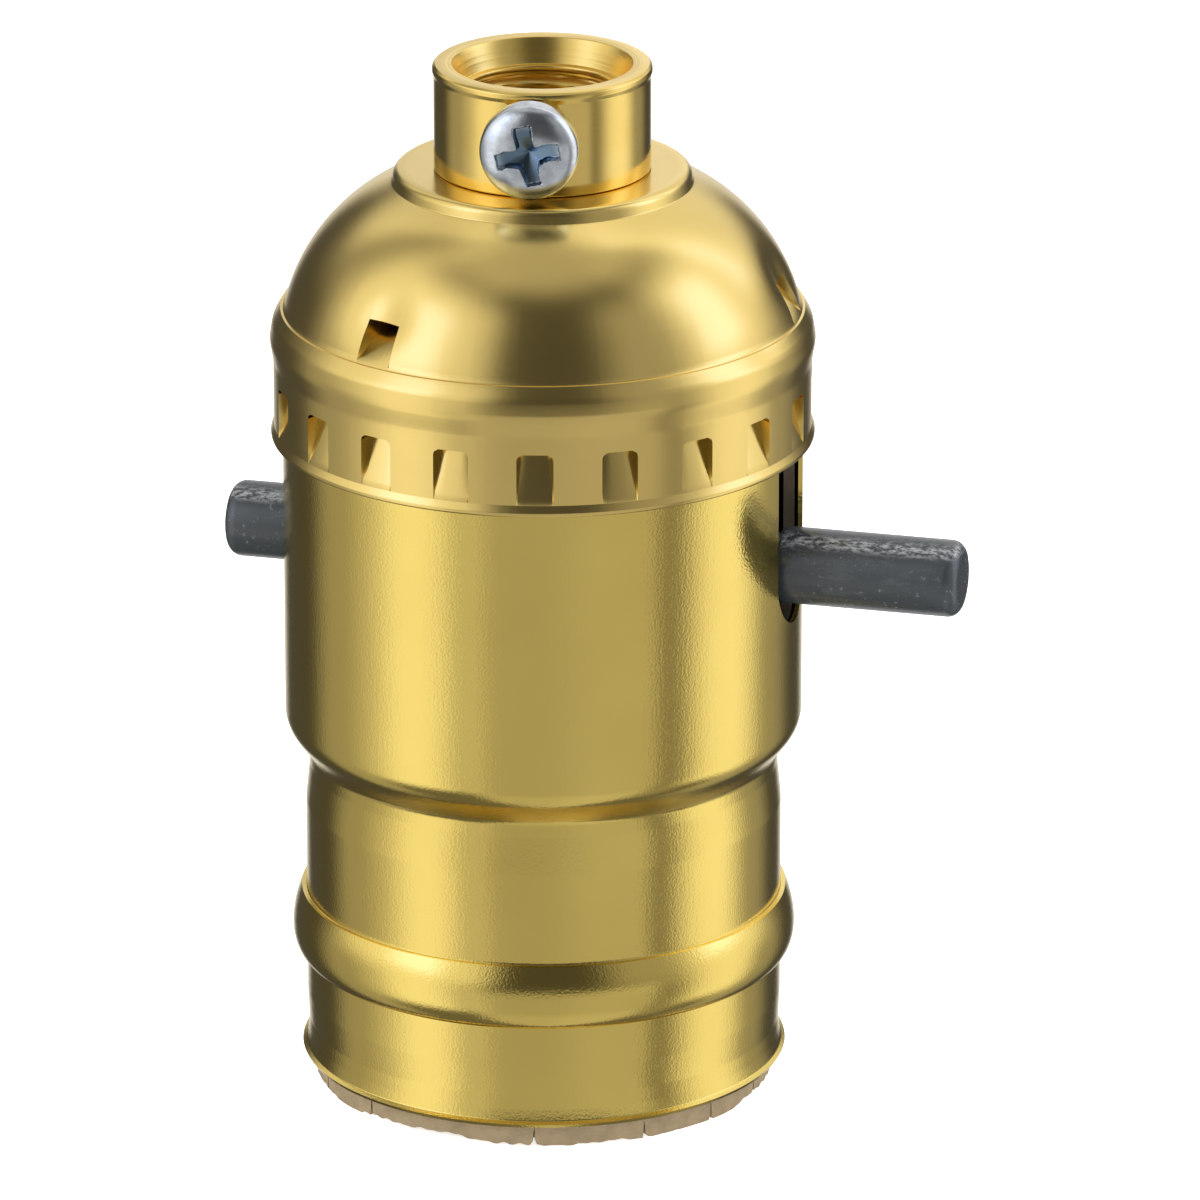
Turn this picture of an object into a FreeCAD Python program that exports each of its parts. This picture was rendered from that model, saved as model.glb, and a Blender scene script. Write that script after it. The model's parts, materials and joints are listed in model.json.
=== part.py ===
import FreeCAD, Part
import math
import os
import re
import Sketcher

# Pull-through lamp holder with a push bar, sizes in millimetres.
# The origin is the centre of the lamp thread's mouth and +Z points to the stem collar.

SIZES = {
    # Lamp thread shell and its insulation
    "thread_radius": 12.6,
    "thread_wall": 0.35,
    "socket_depth": 19.3,
    "socket_hole": 6.5,
    "socket_crown": 4.2,
    "crown_inset": 0.4,
    "socket_round": 0.8,
    "disc_gap": 0.35,
    "disc_thickness": 1.5,
    # Pressed shell
    "thread_room": 1.05,
    "shell_wall": 0.4,
    "mouth_depth": 1.8,
    "rim_flare": 0.48,
    "rim_rise": 1.6,
    "bead_rise": 6.7,
    "bead_height": 4.0,
    "bead_lift": 0.6,
    "bead_crown": 0.25,
    "neck_drop": 5.6,
    "neck_height": 2.8,
    "neck_inset": 0.25,
    "shoulder_drop": 0.4,
    "shoulder_height": 2.0,
    "shoulder_step": 1.53,
    "shoulder_round": 1.3,
    "slot_gap": 0.75,
    "slot_drop": 1.25,
    "edge_round": 0.2,
    # Snap groove that the cap's pockets bite into
    "groove_gap": 0.25,
    "groove_slope": 0.6,
    "snap_gap": 0.2,
    # Fibre liner
    "liner_wall": 0.7,
    "liner_gap": 0.12,
    "liner_lift": 0.31,
    "liner_reach": 1.8,
    "liner_top_gap": 0.8,
    # Cap
    "cap_lift": 1.0,
    "cap_slip": 0.1,
    "cap_wall": 0.45,
    "lip_radius": 0.37,
    "lip_gap": 0.03,
    "band_straight": 5.2,
    "band_height": 8.35,
    "band_swell": 0.15,
    "band_shoulder": 1.45,
    "band_round": 0.9,
    "crease_inset": 0.36,
    "dome_inset": 0.7,
    "dome_bulge": 1.31,
    "dome_height": 8.32,
    "boss_ledge": 2.4,
    "boss_height": 0.83,
    "boss_round": 0.7,
    # Lanced pockets and vents of the cap
    "pocket_count": 20,
    "pocket_angle": -76.7,
    "pocket_width": 2.3,
    "pocket_height": 3.3,
    "pocket_rise": 0.75,
    "pocket_push": 0.9,
    "cheek_wall": 0.3,
    "vent_count": 3,
    "vent_angle": -115.5,
    "vent_width": 2.6,
    "vent_height": 2.5,
    "vent_rise": 0.35,
    "vent_push": 1.2,
    # Stem collar
    "stem_radius": 4.65,
    "lead_ledge": 0.45,
    "lead_flare": 1.0,
    "lead_depth": 1.6,
    "spigot_wall": 1.25,
    "stake_ledge": 0.9,
    "stake_height": 1.0,
    "collar_ledge": 1.0,
    "collar_height": 6.8,
    "collar_chamfer": 0.35,
    # Set screw
    "set_angle": -80.6,
    "set_rise": 3.8,
    "set_radius": 1.75,
    "set_bury": 0.35,
    "set_point": 0.45,
    "set_stand": 0.7,
    "set_head_radius": 3.1,
    "set_head_edge": 1.1,
    "set_head_crown": 1.1,
    "recess_width": 0.95,
    "recess_span": 3.9,
    "recess_depth": 1.3,
    "recess_turn": 12.0,
    # Push bar
    "bar_rise": 11.0,
    "bar_cover": 6.6,
    "bar_radius": 2.45,
    "bar_stub": 4.1,
    "bar_round": 0.9,
    "bar_clearance": 0.07,
    "bar_travel": 6.8,
    "bar_neck_radius": 1.7,
    "click_place": 8.5,
    "click_depth": 0.6,
    # Switch housing
    "body_gap": 0.2,
    "cover_thickness": 2.5,
    "fit_gap": 0.05,
    "room_gap": 0.3,
    "room_depth": 2.0,
    # Contacts and straps
    "strip_thickness": 0.4,
    "ring_radius": 3.4,
    "ring_width": 3.5,
    "ring_split": 60.0,
    "wipe_gap": 0.1,
    "leaf_width": 2.8,
    "centre_plate": 0.5,
    "centre_width": 5.0,
    "centre_reach": 4.4,
    "centre_drop": 2.4,
    "strap_width": 4.0,
    "strap_inset": 0.8,
    "spring_thickness": 0.3,
    "spring_width": 3.0,
    "spring_length": 7.0,
    "spring_foot": 1.4,
    "spring_fold": 0.45,
    "spring_tail": 1.75,
    # Rivets and terminals
    "rivet_radius": 1.2,
    "rivet_head_radius": 2.0,
    "rivet_head_height": 0.6,
    "rivet_edge": 0.7,
    "rivet_grip": 5.2,
    "terminal_radius": 3.4,
    "terminal_edge": 0.22,
    "terminal_thickness": 0.8,
    "binding_radius": 1.7,
    "binding_head_radius": 3.1,
    "binding_head_height": 2.0,
    "binding_grip": 5.0,
    "binding_slot": 0.8,
}

# A fold is drawn a hair more open than a half circle, so that its radius and its ends always agree
FOLD_EASE = "1.001"

# How close two measured values lie when they count as the same
NEAR = 0.01

# Heights above the origin, as expressions of the sheet: the pieces stand on each other
RIM = "(0 - mouth_depth)"
LINER_FOOT = f"({RIM} - liner_reach)"
BEAD = f"({RIM} + bead_rise)"
BODY_FLOOR = "(socket_depth + disc_thickness)"
SHOULDER = f"({BODY_FLOOR} - shoulder_drop)"
NECK = f"({SHOULDER} - neck_drop)"
BAR_AXIS = f"({BODY_FLOOR} + bar_rise)"
BODY_HEIGHT = "(bar_rise + bar_cover)"
BODY_TOP = f"({BAR_AXIS} + bar_cover)"
COVER_TOP = f"({BODY_TOP} + cover_thickness)"
ROOM_FLOOR = f"({BAR_AXIS} - ring_radius - room_depth)"
CAP_EDGE = f"({BODY_TOP} + cap_lift)"
GROOVE_TOP = f"({CAP_EDGE} + pocket_rise + pocket_height + groove_gap)"
CREASE = f"({CAP_EDGE} + band_height)"
DOME_TOP = f"({CREASE} + dome_height)"
CAP_TOP = f"({DOME_TOP} + boss_height)"
SHELL_TOP = f"({CREASE} - cap_wall - snap_gap)"

# Radii about the holder's axis: each piece leaves room for the one inside it
LINER_INSET = "(shell_wall + liner_gap)"
SHELL_RADIUS = "(thread_radius + thread_wall + thread_room + liner_wall + liner_gap + shell_wall)"
NECK_RADIUS = f"({SHELL_RADIUS} - neck_inset)"
UPPER_RADIUS = f"({NECK_RADIUS} + shoulder_step)"
DISC_RADIUS = f"({NECK_RADIUS} - {LINER_INSET} - liner_wall - disc_gap)"
CAP_RADIUS = f"({UPPER_RADIUS} + cap_slip + cap_wall)"
GROOVE_RADIUS = f"({CAP_RADIUS} - cap_wall - pocket_push - snap_gap)"
BODY_RADIUS = f"({GROOVE_RADIUS} - shell_wall - body_gap)"
SPIGOT_RADIUS = "(stem_radius + spigot_wall)"
COLLAR_RADIUS = f"({SPIGOT_RADIUS} + collar_ledge)"
BOSS_RADIUS = f"({COLLAR_RADIUS} + boss_ledge)"

# The dome is one arc from its foot to the boss, found from its chord and its bulge
DOME_FOOT_RADIUS = f"({CAP_RADIUS} - dome_inset)"
DOME_RUN = f"({DOME_FOOT_RADIUS} - {BOSS_RADIUS})"
DOME_CHORD = f"sqrt({DOME_RUN} ^ 2 + dome_height ^ 2)"
DOME_ARC = f"(({DOME_CHORD} ^ 2 / 4 + dome_bulge ^ 2) / 2 / dome_bulge)"
DOME_CENTRE = (
    f"(({DOME_FOOT_RADIUS} + {BOSS_RADIUS}) / 2 - ({DOME_ARC} - dome_bulge) * dome_height / {DOME_CHORD})",
    f"({CREASE} + dome_height / 2 - ({DOME_ARC} - dome_bulge) * {DOME_RUN} / {DOME_CHORD})",
)

# Places and sizes that several pieces share
SLOT_HALF = "(bar_radius + slot_gap)"
BAR_BORE = "(bar_radius + bar_clearance)"
LEAF_INNER = "(ring_radius + wipe_gap)"
LEAF_OUTER = "(ring_radius + wipe_gap + strip_thickness)"
LEAF_LEFT = "(0 - bar_travel - leaf_width / 2)"
LEAF_RIGHT = "(0 - bar_travel + leaf_width / 2)"
ROOM_LEFT = "(0 - bar_travel - ring_width / 2 - room_gap)"
ROOM_RIGHT = "(ring_width / 2 + room_gap)"
RIVET_HOLE = "(rivet_radius + fit_gap)"
RIVET_PLACE = "(thread_radius - crown_inset - rivet_head_radius - rivet_edge)"
BINDING_HOLE = "(binding_radius + fit_gap)"
STRAP_PLACE = f"({BODY_RADIUS} - strap_inset)"
TERMINAL_PLACE = f"sqrt(({BODY_RADIUS} - terminal_radius - terminal_edge) ^ 2 - bar_travel ^ 2)"

doc = FreeCAD.newDocument("lamp_holder")
sheet = doc.addObject("Spreadsheet::Sheet", "sizes")
for row, (alias, number) in enumerate(SIZES.items(), start=1):
    sheet.set(f"A{row}", alias)
    sheet.set(f"B{row}", str(number))
    sheet.setAlias(f"B{row}", alias)
doc.recompute()

parts = []


def on_sheet(words):
    """Return an expression with each alias named on the sheet."""
    return re.sub(r"[a-z_]+", lambda m: "sizes." + m.group() if m.group() in SIZES else m.group(), words)


def value(words):
    """Work an expression out to a number."""
    return float(sheet.evalExpression(words))


def bind(item, name, words):
    item.setExpression(name, on_sheet(words))


def new_body(label):
    body = doc.addObject("PartDesign::Body", label)
    parts.append(body)
    return body


def origin_feature(body, role):
    return next(feature for feature in body.Origin.OriginFeatures if feature.Role == role)


def new_sketch(body, name, role, offset=None, angle=None, about=(0, 1, 0)):
    """Attach a sketch to an origin plane, moved along its normal or turned about one of its own axes."""
    sketch = body.newObject("Sketcher::SketchObject", name)
    sketch.AttachmentSupport = [(origin_feature(body, role), "")]
    sketch.MapMode = "FlatFace"
    if angle:
        turned = FreeCAD.Rotation(FreeCAD.Vector(*about), value(angle))
        sketch.AttachmentOffset = FreeCAD.Placement(FreeCAD.Vector(), turned)
        bind(sketch, "AttachmentOffset.Rotation.Angle", angle)
    if offset:
        bind(sketch, "AttachmentOffset.Base.z", offset)
    return sketch


def place_point(sketch, geometry, end, x, y):
    """Bind a point's distances from the sketch's origin."""
    for axis, words, line in (("DistanceX", x, -2), ("DistanceY", y, -1)):
        if words == "0":
            sketch.addConstraint(Sketcher.Constraint("PointOnObject", geometry, end, line))
            continue
        index = sketch.addConstraint(Sketcher.Constraint(axis, -1, 1, geometry, end, value(words)))
        bind(sketch, f"Constraints[{index}]", words)


def arc_between(start, end, radius):
    """Return the short arc from start to end; a positive radius turns left on the way."""
    chord = end - start
    left = FreeCAD.Vector(-chord.y, chord.x, 0).normalize()
    sagitta = math.sqrt(radius ** 2 - (chord.Length / 2) ** 2)
    centre = (start + end) / 2 + left * math.copysign(sagitta, radius)
    angles = [math.atan2(point.y - centre.y, point.x - centre.x) for point in (start, end)]
    if radius < 0:
        angles.reverse()
    circle = Part.Circle(centre, FreeCAD.Vector(0, 0, 1), abs(radius))
    return Part.ArcOfCircle(circle, *angles)


def draw_outline(sketch, points):
    """Draw a closed outline; a third entry is the radius of the arc to the next point."""
    places = [FreeCAD.Vector(value(point[0]), value(point[1]), 0) for point in points]
    ends = []
    for index, point in enumerate(points):
        start = places[index]
        end = places[(index + 1) % len(points)]
        if len(point) == 2:
            sketch.addGeometry(Part.LineSegment(start, end))
            ends.append((1, 2))
            continue
        radius = value(point[2])
        sketch.addGeometry(arc_between(start, end, radius))
        ends.append((1, 2) if radius > 0 else (2, 1))
        limit = sketch.addConstraint(Sketcher.Constraint("Radius", index, abs(radius)))
        bind(sketch, f"Constraints[{limit}]", f"abs({point[2]})")
    for index, point in enumerate(points):
        following = (index + 1) % len(points)
        leave, arrive = ends[index][1], ends[following][0]
        sketch.addConstraint(Sketcher.Constraint("Coincident", index, leave, following, arrive))
        place_point(sketch, index, ends[index][0], point[0], point[1])


def draw_circle(sketch, x, y, radius):
    circle = Part.Circle(FreeCAD.Vector(value(x), value(y), 0), FreeCAD.Vector(0, 0, 1), value(radius))
    index = sketch.addGeometry(circle)
    limit = sketch.addConstraint(Sketcher.Constraint("Radius", index, value(radius)))
    bind(sketch, f"Constraints[{limit}]", radius)
    place_point(sketch, index, 3, x, y)


def rectangle(x_low, x_high, y_low, y_high):
    return [(x_low, y_low), (x_high, y_low), (x_high, y_high), (x_low, y_high)]


def revolve(body, name, points, axis="V_Axis", turn="360"):
    """Turn an outline of the XZ plane about its upright or level axis."""
    sketch = new_sketch(body, name + "_profile", "XZ_Plane")
    draw_outline(sketch, points)
    feature = body.newObject("PartDesign::Revolution", name)
    feature.Profile = sketch
    feature.ReferenceAxis = (sketch, [axis])
    bind(feature, "Angle", turn)
    doc.recompute()
    return feature


def extrude(body, kind, name, sketch, length, sides="Symmetric", reverse=False):
    feature = body.newObject("PartDesign::" + kind, name)
    feature.Profile = sketch
    feature.SideType = sides
    feature.Reversed = reverse
    bind(feature, "Length", length)
    doc.recompute()
    return feature


def plate(body, name, points, floor, height):
    """Add an outline of the XY plane, raised from its floor."""
    sketch = new_sketch(body, name + "_outline", "XY_Plane", offset=floor)
    draw_outline(sketch, points)
    return extrude(body, "Pad", name, sketch, height, "One side")


def post(body, name, x, y, radius, floor, height):
    """Add an upright cylinder."""
    sketch = new_sketch(body, name + "_circle", "XY_Plane", offset=floor)
    draw_circle(sketch, x, y, radius)
    return extrude(body, "Pad", name, sketch, height, "One side")


def well(body, name, points, floor, height):
    """Cut an outline of the XY plane, from its floor upwards."""
    sketch = new_sketch(body, name + "_outline", "XY_Plane", offset=floor)
    draw_outline(sketch, points)
    return extrude(body, "Pocket", name, sketch, height, "One side", reverse=True)


def drill(body, name, x, y, radius, floor, height):
    """Cut an upright hole, from its floor upwards."""
    sketch = new_sketch(body, name + "_circle", "XY_Plane", offset=floor)
    draw_circle(sketch, x, y, radius)
    return extrude(body, "Pocket", name, sketch, height, "One side", reverse=True)


def ring_edges(shape, radius, height):
    """Name the circles about the axis with this radius and height."""
    names = []
    for index, edge in enumerate(shape.Edges, start=1):
        curve = edge.Curve
        if not isinstance(curve, Part.Circle):
            continue
        if abs(curve.Radius - value(radius)) < NEAR and abs(curve.Center.z - value(height)) < NEAR:
            names.append(f"Edge{index}")
    return names


def round_rings(body, name, base, rings, radius):
    """Round the circles given as pairs of radius and height."""
    feature = body.newObject("PartDesign::Fillet", name)
    names = []
    for ring_radius, height in rings:
        names += ring_edges(base.Shape, ring_radius, height)
    feature.Base = (base, names)
    bind(feature, "Radius", radius)
    doc.recompute()
    return feature


def hollow(body, name, base, heights, wall):
    """Leave a wall inside the form, open at the level faces of these heights."""
    faces = []
    for index, face in enumerate(base.Shape.Faces, start=1):
        level = isinstance(face.Surface, Part.Plane)
        if level and any(abs(face.CenterOfMass.z - value(height)) < NEAR for height in heights):
            faces.append(f"Face{index}")
    feature = body.newObject("PartDesign::Thickness", name)
    feature.Base = (base, faces)
    feature.Join = 1
    feature.Reversed = True
    bind(feature, "Value", wall)
    doc.recompute()
    return feature


def polar(body, name, originals, count):
    feature = body.newObject("PartDesign::PolarPattern", name)
    feature.Originals = originals
    feature.Axis = (origin_feature(body, "Z_Axis"), [""])
    feature.Angle = 360
    bind(feature, "Occurrences", count)
    body.Tip = feature
    doc.recompute()
    return feature


def side_slots(body):
    """Cut the two U slots that the push bar passes through."""
    centre = f"{BAR_AXIS} - bar_radius - slot_drop + {SLOT_HALF}"
    round_end = new_sketch(body, "slot_end_circle", "YZ_Plane")
    draw_circle(round_end, "0", centre, SLOT_HALF)
    extrude(body, "Pocket", "slot_end", round_end, f"4 * {CAP_RADIUS}")
    open_end = new_sketch(body, "slot_sides", "YZ_Plane")
    draw_outline(open_end, rectangle(f"0 - {SLOT_HALF}", SLOT_HALF, centre, CREASE))
    extrude(body, "Pocket", "slot", open_end, f"4 * {CAP_RADIUS}")


def make_shell():
    """Pressed shell: flared rim, bead, neck, shoulder, snap groove and open top."""
    body = new_body("shell")
    bead_top = f"{BEAD} + bead_height"
    bead_radius = f"({SHELL_RADIUS} + bead_lift)"
    bead_arc = "(bead_height ^ 2 / 8 / bead_crown + bead_crown / 2)"
    snap_radius = f"({CAP_RADIUS} - cap_wall - snap_gap)"
    form = revolve(body, "form", [
        ("0", RIM),
        (f"{SHELL_RADIUS} + rim_flare", RIM),
        (SHELL_RADIUS, f"{RIM} + rim_rise"),
        (SHELL_RADIUS, BEAD),
        (bead_radius, BEAD, bead_arc),
        (bead_radius, bead_top),
        (SHELL_RADIUS, bead_top),
        (SHELL_RADIUS, NECK),
        (NECK_RADIUS, f"{NECK} + neck_height"),
        (NECK_RADIUS, f"{SHOULDER} - shoulder_height"),
        (UPPER_RADIUS, SHOULDER),
        (UPPER_RADIUS, CAP_EDGE),
        (GROOVE_RADIUS, f"{CAP_EDGE} + groove_slope"),
        (GROOVE_RADIUS, GROOVE_TOP),
        (snap_radius, f"{GROOVE_TOP} + groove_slope"),
        (snap_radius, SHELL_TOP),
        ("0", SHELL_TOP),
    ])
    rounded = round_rings(body, "shoulder_rounding", form, [(UPPER_RADIUS, SHOULDER)], "shoulder_round")
    wall = hollow(body, "wall", rounded, [RIM, SHELL_TOP], "shell_wall")
    round_rings(body, "bead_rounding", wall, [(bead_radius, BEAD), (bead_radius, bead_top)], "edge_round")
    side_slots(body)


def make_shell_liner():
    """Fibre liner: one rolled tube that follows the shell and stands out below its rim."""
    body = new_body("shell_liner")
    lower = f"({SHELL_RADIUS} - {LINER_INSET})"
    neck = f"({NECK_RADIUS} - {LINER_INSET})"
    upper = f"({UPPER_RADIUS} - {LINER_INSET})"
    shoulder = f"({SHOULDER} + liner_lift)"
    top = f"{CAP_EDGE} - liner_top_gap"
    form = revolve(body, "form", [
        ("0", LINER_FOOT),
        (lower, LINER_FOOT),
        (lower, f"{NECK} - liner_lift"),
        (neck, f"{NECK} + neck_height - liner_lift"),
        (neck, f"{shoulder} - shoulder_height"),
        (upper, shoulder),
        (upper, top),
        ("0", top),
    ])
    rounding = f"shoulder_round - {LINER_INSET}"
    rounded = round_rings(body, "shoulder_rounding", form, [(upper, shoulder)], rounding)
    hollow(body, "wall", rounded, [LINER_FOOT, top], "liner_wall")
    side_slots(body)


def lance(body, name, profile, width, angle, count):
    """Push a sheared panel in: a web with cheeks is added, then the panel's space is cut out."""
    web, space = profile
    web_sketch = new_sketch(body, name + "_web_profile", "XZ_Plane", angle=angle)
    draw_outline(web_sketch, web)
    web_pad = extrude(body, "Pad", name + "_web", web_sketch, width + " + 2 * cheek_wall")
    space_sketch = new_sketch(body, name + "_space_profile", "XZ_Plane", angle=angle)
    draw_outline(space_sketch, space)
    space_cut = extrude(body, "Pocket", name + "_space", space_sketch, width)
    return polar(body, name + "_ring", [web_pad, space_cut], count)


def pocket_profile():
    """Panel of the band: flush at its foot, pushed in under the sheared top edge."""
    foot = f"({CAP_EDGE} + pocket_rise)"
    head = f"({foot} + pocket_height)"
    web = [
        (f"{CAP_RADIUS} - cap_wall / 2", foot),
        (f"{CAP_RADIUS} - cap_wall / 2", head),
        (f"{CAP_RADIUS} - pocket_push - cap_wall", head),
        (f"{CAP_RADIUS} - cap_wall", foot),
    ]
    space = [
        (f"{CAP_RADIUS} + cap_wall", foot),
        (f"{CAP_RADIUS} + cap_wall", head),
        (f"{CAP_RADIUS} - pocket_push", head),
        (CAP_RADIUS, foot),
    ]
    return web, space


def dome_at(height):
    """Radius of the dome's outside at a height."""
    return f"({DOME_CENTRE[0]} + sqrt({DOME_ARC} ^ 2 - ({height} - {DOME_CENTRE[1]}) ^ 2))"


def vent_profile():
    """Panel low on the dome: flush at its foot, pushed in under the sheared top edge."""
    foot = f"({CREASE} + vent_rise)"
    head = f"({foot} + vent_height)"
    web = [
        (f"{dome_at(foot)} - cap_wall / 2", foot),
        (f"{dome_at(head)} - cap_wall / 2", head),
        (f"{dome_at(head)} - vent_push - cap_wall", head),
        (f"{dome_at(foot)} - cap_wall", foot),
    ]
    space = [
        (f"{dome_at(foot)} + cap_wall", foot),
        (f"{dome_at(foot)} + cap_wall", head),
        (f"{dome_at(head)} - vent_push", head),
        (dome_at(foot), foot),
    ]
    return web, space


def make_cap():
    """Spun cap: rolled lip, band of lanced pockets, crease, dome with three vents, boss."""
    body = new_body("cap")
    shoulder_radius = f"({CAP_RADIUS} + band_swell)"
    shoulder = f"{CREASE} - band_shoulder"
    form = revolve(body, "form", [
        ("0", CAP_EDGE),
        (CAP_RADIUS, CAP_EDGE),
        (CAP_RADIUS, f"{CAP_EDGE} + band_straight"),
        (shoulder_radius, shoulder),
        (f"{CAP_RADIUS} - crease_inset", CREASE),
        (DOME_FOOT_RADIUS, CREASE, DOME_ARC),
        (BOSS_RADIUS, DOME_TOP),
        (BOSS_RADIUS, CAP_TOP),
        ("0", CAP_TOP),
    ])
    band = round_rings(body, "band_rounding", form, [(shoulder_radius, shoulder)], "band_round")
    boss = round_rings(body, "boss_rounding", band, [(BOSS_RADIUS, CAP_TOP)], "boss_round")
    hollow(body, "wall", boss, [CAP_EDGE], "cap_wall")
    lip = new_sketch(body, "lip_circle", "XZ_Plane")
    lip_place = f"{CAP_RADIUS} - cap_wall + lip_gap + lip_radius"
    draw_circle(lip, lip_place, f"{CAP_EDGE} + lip_radius", "lip_radius")
    roll = body.newObject("PartDesign::Revolution", "lip")
    roll.Profile = lip
    roll.ReferenceAxis = (lip, ["V_Axis"])
    doc.recompute()
    drill(body, "collar_hole", "0", "0", f"{SPIGOT_RADIUS} + fit_gap", DOME_TOP, "2 * boss_height")
    lance(body, "pocket", pocket_profile(), "pocket_width", "pocket_angle", "pocket_count")
    lance(body, "vent", vent_profile(), "vent_width", "vent_angle", "vent_count")


def make_collar():
    """Turned collar: stem thread at its minor radius, lead-in, spigot staked under the cap."""
    body = new_body("collar")
    bind(body, "Placement.Base.z", CAP_TOP)
    body.Placement.Rotation = FreeCAD.Rotation(FreeCAD.Vector(0, 0, 1), value("set_angle"))
    bind(body, "Placement.Rotation.Angle", "set_angle")
    stake = "(0 - cap_wall)"
    revolve(body, "form", [
        ("stem_radius", f"{stake} - stake_height"),
        (f"{SPIGOT_RADIUS} + stake_ledge", f"{stake} - stake_height"),
        (f"{SPIGOT_RADIUS} + stake_ledge", stake),
        (SPIGOT_RADIUS, stake),
        (SPIGOT_RADIUS, "0"),
        (COLLAR_RADIUS, "0"),
        (COLLAR_RADIUS, "collar_height - collar_chamfer"),
        (f"{COLLAR_RADIUS} - collar_chamfer", "collar_height"),
        ("stem_radius + lead_flare", "collar_height"),
        ("stem_radius + lead_ledge", "collar_height - lead_depth"),
        ("stem_radius", "collar_height - lead_depth"),
    ])
    side = new_sketch(body, "screw_circle", "YZ_Plane")
    draw_circle(side, "0", "set_rise", "set_radius + fit_gap")
    extrude(body, "Pocket", "screw_hole", side, f"2 * {COLLAR_RADIUS}", "One side", reverse=True)


def cross_points(span, width):
    """Outline of a cross with arms of this span and width, counterclockwise."""
    far = f"({span} / 2)"
    near = f"({width} / 2)"
    quarter = [(far, near), (near, near), (near, far)]
    points = []
    for x_sign, y_sign, order in (("", "", 1), ("0 - ", "", -1), ("0 - ", "0 - ", 1), ("", "0 - ", -1)):
        points += [(x_sign + x, y_sign + y) for x, y in quarter[::order]]
    return points


def make_set_screw():
    """Pan head set screw with a cross recess, its axis along the body's own +X."""
    body = new_body("set_screw")
    bind(body, "Placement.Base.z", f"{CAP_TOP} + set_rise")
    body.Placement.Rotation = FreeCAD.Rotation(FreeCAD.Vector(0, 0, 1), value("set_angle"))
    bind(body, "Placement.Rotation.Angle", "set_angle")
    seat = f"({COLLAR_RADIUS} + set_stand)"
    tip = "(stem_radius + set_bury)"
    crown = f"({seat} + set_head_edge + set_head_crown)"
    crown_radius = "((set_head_radius ^ 2 + set_head_crown ^ 2) / 2 / set_head_crown)"
    revolve(body, "form", [
        (tip, "0"),
        (crown, "0", crown_radius),
        (f"{seat} + set_head_edge", "set_head_radius"),
        (seat, "set_head_radius"),
        (seat, "set_radius"),
        (f"{tip} + set_point", "set_radius"),
        (tip, "set_radius - set_point"),
    ], axis="H_Axis")
    recess = new_sketch(body, "recess_cross", "YZ_Plane", offset=crown, angle="recess_turn", about=(0, 0, 1))
    draw_outline(recess, cross_points("recess_span", "recess_width"))
    extrude(body, "Pocket", "recess", recess, "recess_depth", "One side")


def make_push_bar():
    """Moulded bar with rounded ends, a neck for the contact ring and two click grooves."""
    body = new_body("push_bar")
    bind(body, "Placement.Base.z", BAR_AXIS)
    left = f"(0 - {UPPER_RADIUS} - bar_stub)"
    right = f"({UPPER_RADIUS} + bar_stub + bar_travel)"
    half = "(ring_width / 2 + fit_gap)"
    clicks = []
    for place in ("click_place", "(click_place + bar_travel)"):
        clicks += [
            (f"{place} + click_depth", "bar_radius"),
            (place, "bar_radius - click_depth"),
            (f"{place} - click_depth", "bar_radius"),
        ]
    clicks = clicks[3:] + clicks[:3]
    revolve(body, "form", [
        (left, "0"),
        (right, "0"),
        (right, "bar_radius - bar_round", "bar_round"),
        (f"{right} - bar_round", "bar_radius"),
    ] + clicks + [
        (half, "bar_radius"),
        (half, "bar_neck_radius"),
        (f"0 - {half}", "bar_neck_radius"),
        (f"0 - {half}", "bar_radius"),
        (f"{left} + bar_round", "bar_radius", "bar_round"),
        (left, "bar_radius - bar_round"),
    ], axis="H_Axis")


def make_moving_contact():
    """Split brass ring that snaps onto the bar's neck."""
    body = new_body("moving_contact")
    bind(body, "Placement.Base.z", BAR_AXIS)
    half = "(ring_width / 2)"
    revolve(body, "form", [
        (f"0 - {half}", "bar_neck_radius + fit_gap"),
        (half, "bar_neck_radius + fit_gap"),
        (half, "ring_radius"),
        (f"0 - {half}", "ring_radius"),
    ], axis="H_Axis", turn="360 - ring_split")


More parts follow.
